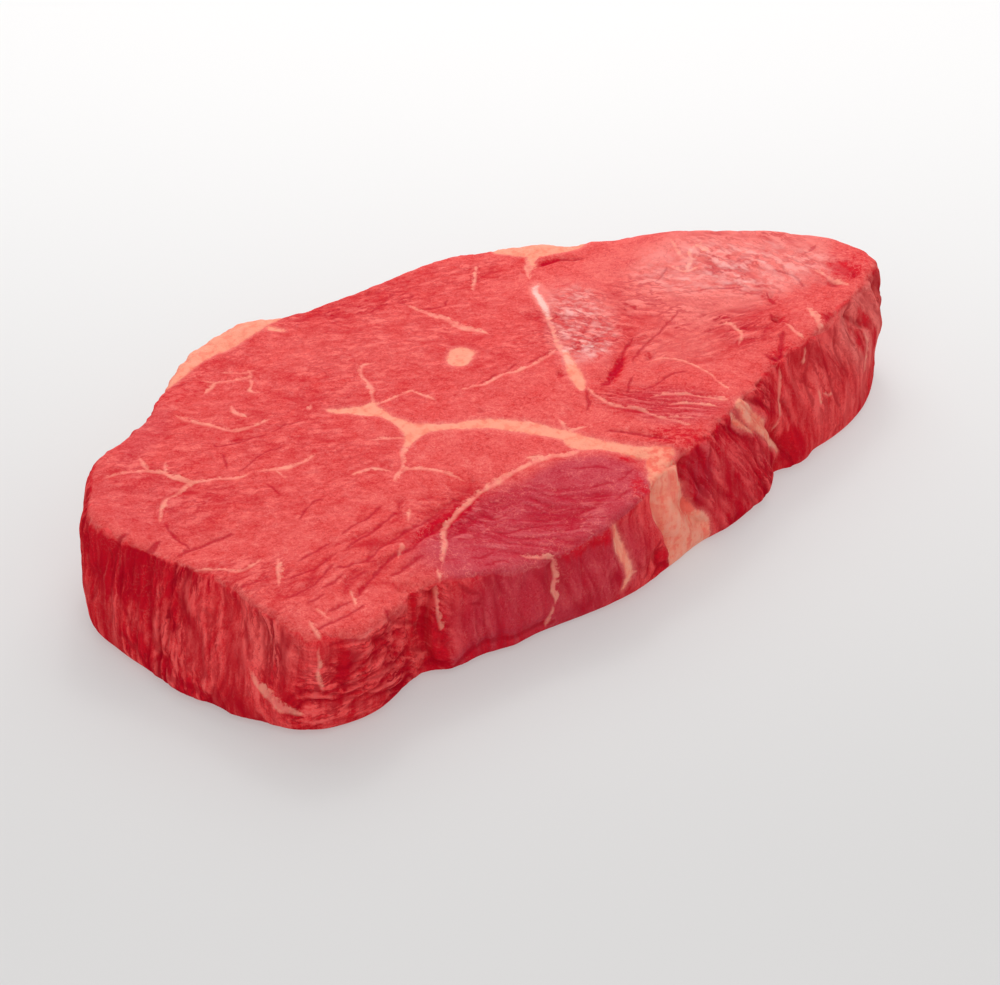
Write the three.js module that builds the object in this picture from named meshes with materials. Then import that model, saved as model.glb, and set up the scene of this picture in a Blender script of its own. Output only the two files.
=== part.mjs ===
// A boneless top sirloin (rump) steak, cut thick and lying flat on its lower cut face.
// Millimetres, +Z up. +X runs along the steak towards its narrow end, and the origin lies under its middle.
//
// The steak is one closed solid. A sphere's rows and columns are laid over it: the first rows cover the upper
// cut face from its hub out to the rim, the next rows run down the side, and the last ones close the flat
// base. Every size comes from the outline, the thickness and the named swells below.
import * as THREE from "three";

const THICKNESS = 31.5; // of the slice, away from the swells
const RIM_ROUND = 2.4; // how far the rounding of the upper edge reaches inwards
const RIM_DROP = 2.2; // and how far it reaches down
const FOOT_ROUND = 3.8; // how far the rounding of the lower edge reaches inwards
const FOOT_RISE = 5.0; // and how far it reaches up
const SIDE_BULGE = 1.6; // of the side at half its height
const CROWN = 0.8; // the upper face stands this much higher at its hub than at its rim
const HUB = new THREE.Vector3(-20, 8, 0); // the rows of the two faces close in on it

const COLUMNS = 144; // round the steak
const FACE_ROWS = 12; // from the hub of the upper face to its rim
const RIM_ROWS = 3; // round the upper edge
const SIDE_ROWS = 5; // down the side
const FOOT_ROWS = 3; // round the lower edge
const BASE_ROWS = 4; // from the lower edge to the hub of the base

const MEAT = { color: 0xb8343a, roughness: 0.42, metalness: 0 };

// The rim of the upper face, seen from above, anticlockwise from the narrow end.
const RIM_OUTLINE = [
  [109.5, -11.5],
  [107, -2],
  [98, 9],
  [83, 20.5],
  [70, 30.5],
  [58, 36],
  [46, 44.5],
  [35, 52.5],
  [23, 57],
  [6, 58.5],
  [-12, 60],
  [-25, 62.5],
  [-36, 67],
  [-48, 68],
  [-59, 63],
  [-68.5, 55.5],
  [-79, 48],
  [-90.5, 43.5],
  [-100.5, 39.5],
  [-109, 31.5],
  [-116, 18.5],
  [-113.5, 7],
  [-108, -8],
  [-106, -22],
  [-106, -36],
  [-103, -48],
  [-93, -52],
  [-81.5, -50.5],
  [-73, -46.5],
  [-65, -48.5],
  [-52, -51.5],
  [-38, -54],
  [-22, -56],
  [-9, -55.5],
  [0, -52],
  [9, -50.5],
  [21, -48],
  [36, -44],
  [48, -39.5],
  [55, -37],
  [66, -36],
  [82, -31.5],
  [97, -26.5],
  [106.5, -20],
];

// Where the slice swells or sags: lift changes its thickness, flare pushes the foot of the side out or in, round
// softens the upper edge, and all three fade over reach from the point named by at.
const SWELLS = [
  { part: "narrow end", at: [88, -18], reach: 42, lift: 3.2, flare: 3.0, round: 0 },
  { part: "right side", at: [80, -33], reach: 22, lift: 0, flare: 5.0, round: 0 },
  { part: "tip", at: [109, -6], reach: 18, lift: -0.8, flare: -5.0, round: 2.4 },
  { part: "long-fibred muscle", at: [30, -44], reach: 15, lift: 1.0, flare: 5.0, round: 0 },
  { part: "fat wedge", at: [3, -52], reach: 9, lift: -1.5, flare: 2.6, round: 0 },
  { part: "round muscle", at: [-38, -56], reach: 27, lift: -7.2, flare: -2.2, round: 0.6 },
  { part: "notch", at: [-74, -50], reach: 10, lift: -3.2, flare: -1.6, round: -0.4 },
  { part: "near corner", at: [-100, -52], reach: 16, lift: -2.4, flare: -3.6, round: 2.6 },
  { part: "broad end", at: [-110, -11], reach: 26, lift: -0.8, flare: 12.0, round: 0 },
  { part: "fat rim", at: [-47, 66], reach: 20, lift: 0, flare: -1.5, round: 2.2 },
  { part: "middle", at: [-20, 8], reach: 50, lift: 0.8, flare: 0, round: 0 },
];

const outline = new THREE.CatmullRomCurve3(
  RIM_OUTLINE.map(([x, y]) => new THREE.Vector3(x, y, 0)),
  true,
  "centripetal",
);
const UP = new THREE.Vector3(0, 0, 1);

// The sum of one property of the swells at a point seen from above.
function swell(property, x, y) {
  return SWELLS.reduce((sum, { at, reach, [property]: amount }) => {
    const away = Math.hypot(x - at[0], y - at[1]) / reach;
    return sum + amount * Math.exp(-away * away);
  }, 0);
}

// The height of the upper face, where share is how far out a point lies: 0 at the hub, 1 at the rim.
function faceHeight(x, y, share) {
  return THICKNESS + CROWN * (1 - share * share) + swell("lift", x, y);
}

// The side's reach beyond the rim outline, at a height that goes from 0 on the base to 1 at the rim.
function sideReach(flare, height) {
  return flare * (1 - height) + SIDE_BULGE * Math.sin(Math.PI * height);
}

// One quarter of a rounded edge: [0, 0] where share is 0 and [1, 1] where it is 1.
function quarterRound(share) {
  const angle = (share * Math.PI) / 2;
  return [1 - Math.cos(angle), Math.sin(angle)];
}

// What the rows need to know of one column: onSide gives the point of the side that lies inset inwards of its
// surface at height z, shoulder is the height where the rounding of the upper edge starts, and inset its width.
function column(turn) {
  const rim = outline.getPointAt(turn % 1);
  const out = outline.getTangentAt(turn % 1).cross(UP);
  const top = faceHeight(rim.x, rim.y, 1);
  const flare = swell("flare", rim.x, rim.y);
  const round = swell("round", rim.x, rim.y);
  const onSide = (z, inset = 0) => rim.clone().addScaledVector(out, sideReach(flare, z / top) - inset).setZ(z);
  return { onSide, shoulder: top - RIM_DROP - round, inset: RIM_ROUND + round };
}

// The point where a row crosses a column.
function surfacePoint(row, { onSide, shoulder, inset }) {
  const edge = onSide(shoulder, inset);
  let left = row;
  if (left <= FACE_ROWS) {
    const share = left / FACE_ROWS;
    const point = edge.setZ(0).lerp(HUB, 1 - share);
    return point.setZ(faceHeight(point.x, point.y, share));
  }
  left -= FACE_ROWS;
  if (left <= RIM_ROWS) {
    const [down, outwards] = quarterRound(left / RIM_ROWS);
    const edgeHeight = faceHeight(edge.x, edge.y, 1);
    return onSide(shoulder, inset * (1 - outwards)).setZ(edgeHeight + (shoulder - edgeHeight) * down);
  }
  left -= RIM_ROWS;
  if (left <= SIDE_ROWS) {
    return onSide(shoulder + (FOOT_RISE - shoulder) * (left / SIDE_ROWS));
  }
  left -= SIDE_ROWS;
  if (left <= FOOT_ROWS) {
    const [inwards, down] = quarterRound(left / FOOT_ROWS);
    return onSide(FOOT_RISE, FOOT_ROUND * inwards).setZ(FOOT_RISE * (1 - down));
  }
  left -= FOOT_ROWS;
  return onSide(FOOT_RISE, FOOT_ROUND).setZ(0).lerp(HUB, left / BASE_ROWS);
}

// The closed skin of the steak, moved so that its box stands centred on the origin.
function steakGeometry() {
  const rows = FACE_ROWS + RIM_ROWS + SIDE_ROWS + FOOT_ROWS + BASE_ROWS;
  const skin = new THREE.SphereGeometry(1, COLUMNS, rows);
  const position = skin.getAttribute("position");
  const columns = Array.from({ length: COLUMNS + 1 }, (_, turn) => column(turn / COLUMNS));
  for (let row = 0; row <= rows; row++) {
    for (let turn = 0; turn <= COLUMNS; turn++) {
      const { x, y, z } = surfacePoint(row, columns[turn]);
      position.setXYZ(row * (COLUMNS + 1) + turn, x, y, z);
    }
  }
  skin.computeBoundingBox();
  const middle = skin.boundingBox.getCenter(new THREE.Vector3());
  skin.translate(-middle.x, -middle.y, -skin.boundingBox.min.z);
  skin.computeVertexNormals();
  return skin;
}

const steak = new THREE.Mesh(steakGeometry(), new THREE.MeshStandardMaterial(MEAT));
steak.name = "steak";

const part = new THREE.Group();
part.add(steak);
export default part;
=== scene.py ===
"""A raw beef steak, cut thick: its seams of fat, veins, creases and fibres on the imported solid."""

import math
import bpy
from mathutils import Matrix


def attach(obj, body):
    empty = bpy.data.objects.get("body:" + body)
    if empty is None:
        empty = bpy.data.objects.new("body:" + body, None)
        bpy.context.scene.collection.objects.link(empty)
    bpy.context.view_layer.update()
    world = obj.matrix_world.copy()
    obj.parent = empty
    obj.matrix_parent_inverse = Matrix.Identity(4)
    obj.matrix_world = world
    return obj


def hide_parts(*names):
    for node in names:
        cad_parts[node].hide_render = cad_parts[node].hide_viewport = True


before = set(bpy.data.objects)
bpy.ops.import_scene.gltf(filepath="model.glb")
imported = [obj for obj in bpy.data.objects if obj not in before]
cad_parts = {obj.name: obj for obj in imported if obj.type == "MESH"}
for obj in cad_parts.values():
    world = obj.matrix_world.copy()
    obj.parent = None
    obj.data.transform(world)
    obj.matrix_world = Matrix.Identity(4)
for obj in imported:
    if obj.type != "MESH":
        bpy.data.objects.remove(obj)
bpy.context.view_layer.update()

from types import SimpleNamespace

import bmesh
import bpy
import numpy as np
from bpy.props import FloatProperty, FloatVectorProperty, PointerProperty
from mathutils import Vector
from mathutils.bvhtree import BVHTree

bl_info = {
    "name": "Raw beef steak",
    "version": (1, 0, 0),
    "blender": (4, 5, 0),
    "location": "3D View > Sidebar > Steak",
    "description": "Builds a thick raw beef steak with seams of fat, veins, creases and fibres",
    "category": "Object",
}

MM = 0.001
NODE = "steak"
GRAIN_TURN = math.radians(41)  # of the fibres on the cut face

# ---------------------------------------------------------------- the lines that a butcher would point at
# Lengths are millimetres. A line on the upper cut face is given from above, with x and y measured from
# FACE_ZERO. A line on the side is given by how far round it lies, anticlockwise from the narrow end along
# the outline at SIDE_LEVEL, and by its height.
FACE, SIDE = "face", "side"
FACE_ZERO = (0.55, 0.0)
SIDE_HUB = (-15.0, 2.0)
SIDE_LEVEL = 14.0
SIDE_START = 0.0157  # radians

# Thick fat: x, y and half the width there.
FAT_LINES = {
    FACE: (
        ((-31.5, 1, 0.9), (-31, -3, 1.4), (-31, -6, 2.3), (-31, -7.5, 2.6)),
        ((-31, -7.5, 2.4), (-28, -9, 1.6), (-25, -11, 1.3), (-22, -13, 1.2), (-19, -14.5, 1.5),
         (-15, -17, 1.5), (-12, -19.5, 2.0), (-8, -24, 2.3), (-5.5, -28, 1.9), (-3, -32, 1.9),
         (-2.5, -36, 2.5), (0, -39, 1.9), (2.6, -42.4, 1.5), (5, -46.5, 1.6), (8.5, -50.5, 2.0),
         (12, -53, 1.4)),
        ((-31, -7.5, 2.0), (-33, -9, 1.5), (-36, -11, 0.8)),
        ((-40, 13.5, 0.6), (-38, 11, 1.1), (-36, 9, 1.6), (-33, 6.5, 2.4), (-31.7, 3.5, 1.4),
         (-31.5, 1, 1.0)),
        ((-34, 8, 1.6), (-30.5, 8.5, 0.9)),
        ((-2.2, 8.9, 2.9), (0.6, 11, 3.1)),
        ((38, 24, 0.2), (34.6, 21.4, 0.6), (32.4, 17.8, 0.8), (30.6, 14.3, 0.8), (28.3, 9.7, 0.4)),
        ((20.2, -5.4, 0.5), (18.3, -9.8, 1.1), (16, -13.8, 1.5), (14.2, -17.8, 1.4), (12.8, -20.2, 0.8)),
        ((9.5, -51, 1.9), (8.6, -53, 2.8), (7.6, -55.5, 3.8)),
        ((-65, 49.5, 0.6), (-61, 51, 1.8), (-56, 54, 3.2), (-48, 57.5, 5.0), (-40, 58.2, 5.6),
         (-32, 57.5, 4.6), (-26, 57, 2.8), (-20, 57, 1.2)),
        ((-28, 52.5, 0.8), (-26, 50, 0.4)),
        ((41, 43, 1.4), (45, 39.5, 3.2), (50, 36.5, 4.0), (56, 33.5, 3.2), (62, 31.5, 2.2), (69, 28.5, 1.2),
         (75, 25.5, 0.7)),
        ((46, 35.5, 1.6), (43.5, 33.5, 0.8), (43, 32, 0.5)),
    ),
    SIDE: (
        ((434, 29, 3.6), (431.4, 26, 5.6), (431.8, 22, 6.3), (432.8, 18, 5.6), (434.6, 14, 6.2),
         (436.2, 10.5, 6.6), (439, 6.4, 7.6), (440.5, 3, 7.6), (440.5, 0, 7.4)),
        ((467.5, 32, 1.6), (469, 28, 2.1), (471.2, 24.5, 2.0), (473.6, 21, 1.7), (475, 18, 1.2),
         (477.2, 14.5, 0.9), (480, 12, 0.8), (482.5, 8.5, 0.6)),
        ((463, 31.5, 0.3), (464.4, 28.5, 0.6), (466.2, 25.5, 0.6), (468.8, 22.8, 0.3)),
        ((410, 25.5, 0.6), (411, 22, 1.2), (411.8, 19, 1.4), (413, 16, 1.2), (414, 13, 0.9),
         (414.6, 10, 1.0), (414, 7, 0.7), (413, 5.5, 0.4)),
    ),
}

# Stretches of the side that a cap of fat covers from top to bottom: where each starts and ends.
FAT_CAPS = ((141, 190), (42, 78))

# Thin veins: x, y and half the width there.
VEINS = {
    FACE: (
        ((-36, -11, 0.8), (-39, -13, 0.7), (-41, -16, 0.5), (-43, -18, 0.6), (-45, -19, 0.8),
         (-47, -20, 0.3)),
        ((-45, -19, 0.4), (-42, -18.5, 0.6), (-40, -20, 0.6), (-38, -22, 0.5), (-36, -24.5, 0.5),
         (-34.5, -27, 0.4), (-34, -29, 0.3)),
        ((-41, -4, 0.3), (-38, -6, 0.5), (-35, -8, 0.4)),
        ((-46, -16, 0.3), (-49, -13, 0.7), (-53, -12, 0.5)),
        ((-43.3, 17.2, 0.7), (-42.6, 17.8, 0.6)),
        ((-30, 9, 0.5), (-28, 12, 0.6), (-27, 13.5, 1.2), (-26, 16, 0.6), (-25, 19, 0.5), (-24, 21, 0.6),
         (-22, 23, 0.5), (-19, 22.5, 0.3)),
        ((-30, 7.5, 0.4), (-26, 7, 0.5), (-22, 6.5, 0.4), (-19.5, 6, 0.5), (-19, 4, 0.4), (-18.5, 1.5, 0.4),
         (-18, -0.5, 0.3)),
        ((-57, -49, 0.5), (-53, -45, 0.7), (-50, -41.5, 0.8), (-47, -39, 0.9), (-43, -37.5, 0.8),
         (-37, -35.5, 0.8), (-33, -35, 0.7), (-28, -34.7, 0.9), (-22, -34.7, 0.7), (-17, -34.8, 0.9),
         (-13, -35.8, 0.8), (-10, -37, 0.8), (-7.5, -38.5, 0.9), (-5, -38.5, 1.0)),
        ((-16, -33.3, 0.3), (-13, -35, 0.6)),
        ((0, -27, 0.5), (-1, -30, 0.7), (-3, -31.5, 0.9)),
        ((-2, -31, 0.9), (2, -33, 0.3)),
        ((5.5, 37, 0.4), (6, 33, 0.5), (7, 29.5, 1.1), (8, 26, 1.0), (8.5, 23, 1.2), (9, 20, 1.2),
         (11, 17, 0.8), (12, 14.5, 0.3)),
        ((-10, -2, 0.3), (-7, -3, 0.5), (-5, -4, 0.6), (0, -3.5, 0.5), (3, -4, 0.6), (5, -5, 0.5),
         (10, -5, 0.5), (15, -4.5, 0.6), (18, -4, 0.6)),
        ((46, 34.3, 1.6), (43.6, 33.6, 1.6), (41.1, 31.6, 1.3), (39.2, 29.8, 0.9), (37.5, 27.5, 0.4)),
        ((28.3, 9.7, 1.1), (26, 5.9, 0.9), (23.8, 2, 0.7), (21.1, -2.5, 0.9), (18.9, -7.3, 1.2)),
        ((-99, 26, 0.4), (-94, 24.5, 0.5), (-91, 22.5, 0.7), (-89, 20.5, 0.7), (-87, 18, 0.7),
         (-86, 15, 0.8), (-84.5, 11, 0.8)),
        ((-88, 27, 0.3), (-89, 24, 0.5), (-89.5, 21.5, 0.5)),
        ((-84.5, 21.5, 0.3), (-86, 20, 0.4), (-87, 18.5, 0.4)),
        ((-84.5, 11, 0.7), (-89, 10, 0.5), (-93, 10, 0.6), (-95, 8.5, 0.6), (-97, 6.5, 0.4),
         (-99, 4.5, 0.3)),
        ((-84.5, 11, 0.7), (-81, 9.5, 0.6), (-77, 7, 0.7), (-75, 5.5, 0.6), (-72.5, 5, 0.3)),
        ((-69.5, 4, 0.3), (-66, 2, 0.6), (-64, 1, 0.7), (-60, 0, 0.5), (-56, 0, 0.3)),
        ((-66, 1, 0.4), (-66, -2, 0.2)),
        ((-70, 36, 0.4), (-69, 33, 0.7), (-67, 29, 0.5), (-65.5, 26, 0.6), (-64, 23, 0.7), (-63, 21.5, 0.9),
         (-60, 20.5, 0.6), (-55, 20, 0.3)),
        ((-58, 30, 0.4), (-59, 28, 0.8), (-58, 25.5, 0.7)),
        ((-58, 40, 0.4), (-55, 41, 0.6), (-53, 42, 0.4), (-49.5, 40, 0.5), (-46, 38.5, 0.5),
         (-44.5, 40, 0.3)),
        ((-55, 44.5, 0.3), (-53.5, 42, 0.4)),
        ((-49, 44.5, 0.3), (-47, 42, 0.5), (-45.5, 40.5, 0.5), (-43, 40, 0.3)),
        ((-46.5, 37.5, 0.4), (-48, 35, 0.4), (-50, 33.5, 0.5), (-49, 31.5, 0.3)),
        ((-103.5, -16, 0.3), (-101, -19, 0.4), (-99, -21, 0.3), (-98, -23, 0.5), (-95, -24, 0.5),
         (-91, -23.5, 0.3)),
        ((-88, -26.5, 0.3), (-90, -29, 0.8), (-92, -32, 0.6), (-93.5, -34, 0.3)),
        ((-62, -40, 0.5), (-65, -43, 0.3)),
        ((-55, -34, 0.3), (-52, -31.5, 0.4)),
        ((-60, -51, 0.4), (-61, -53, 0.4)),
        ((-92.5, -46, 0.3), (-92, -50, 0.4)),
        ((-82, -46, 0.3), (-84, -50, 0.4)),
        ((-96, -49, 0.4), (-97, -53, 0.5)),
        ((14, -22, 0.4), (13, -26, 0.5), (13, -30, 0.5), (14.5, -33, 0.5), (17, -36, 0.6), (18, -38.5, 0.5),
         (19, -42, 0.5), (21, -46, 0.5), (22, -49, 0.3)),
        ((21, -44, 0.3), (24, -47, 0.3)),
        ((24, -34.5, 0.4), (26, -35.5, 0.5), (28, -37, 0.6), (30, -39.5, 0.7), (31.5, -41.5, 0.7),
         (34, -44.5, 0.9), (36, -47, 0.8)),
        ((25, -40, 0.4), (27, -41.5, 0.5), (30, -45, 0.6), (32, -48, 0.4)),
        ((35, -23, 0.2), (38, -25, 0.4), (40, -28, 0.4), (41, -34, 0.3), (40, -44, 0.3)),
        ((69, 2, 0.3), (73, 4, 0.6), (76, 7, 0.5), (80, 8, 0.3)),
        ((23, 33, 0.4), (26, 36, 0.5), (29, 39, 0.5), (31, 41, 0.3)),
        ((57, -22, 0.3), (60, -24, 0.6), (59, -29, 0.5), (56, -32, 0.3)),
        ((75.5, 13.8, 0.4), (73, 8.5, 0.5), (73.2, 4.5, 0.6), (74.6, 3.8, 0.4)),
        ((67.6, 6.6, 0.3), (68.9, 2.3, 0.5), (71.5, 0.9, 0.4)),
        ((78.5, 7.5, 0.9), (79, 4.5, 1.3)),
        ((70.2, -34.4, 0.4), (69.9, -37.5, 0.7), (69.6, -40, 0.5)),
        ((79.3, -33.1, 0.8), (78.7, -36, 1.2), (77, -40, 0.9)),
        ((93.6, -20.9, 0.4), (94.7, -26, 0.8), (95.8, -31.1, 0.5)),
    ),
    SIDE: (
        ((385, 25, 0.3), (388, 24.5, 0.5), (391, 24, 0.7), (393, 22.5, 0.6), (393, 20, 0.8), (393, 17, 0.7),
         (392.3, 14, 1.0), (393, 12, 0.8), (392.5, 10.5, 0.3)),
        ((391.5, 9.5, 0.3), (391, 6, 0.6), (390.5, 4, 0.5)),
        ((414.5, 10, 0.7), (416.3, 9.5, 0.4)),
        ((360.5, 26, 0.4), (360.8, 21, 0.7), (361, 15, 0.5)),
        ((323, 25.5, 0.3), (323, 22, 0.5), (322.3, 18, 0.4), (323.5, 15, 0.3)),
        ((499.5, 18.5, 0.3), (499.3, 15.5, 0.4)),
        ((501.5, 17, 0.3), (504, 15.5, 0.4)),
        ((525.3, 23, 0.5), (524.5, 18, 0.7), (522, 13, 0.5)),
        ((501.4, 31.3, 0.3), (499.6, 28.6, 0.5)),
        ((545, 29, 0.3), (544, 24, 0.5), (545.4, 18, 0.4), (543.4, 11, 0.4)),
        ((552.5, 31, 0.3), (553.4, 26, 0.5), (551.6, 20, 0.3)),
        ((489.4, 29.8, 0.3), (486.5, 25.2, 0.5), (484.8, 22.1, 0.6), (483.1, 14.4, 0.3)),
        ((305, 15.5, 0.3), (307, 13.3, 0.9), (309.6, 11.4, 1.4), (312, 9.4, 1.5), (315, 7.9, 1.2),
         (318, 7.3, 0.4)),
    ),
}

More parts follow.
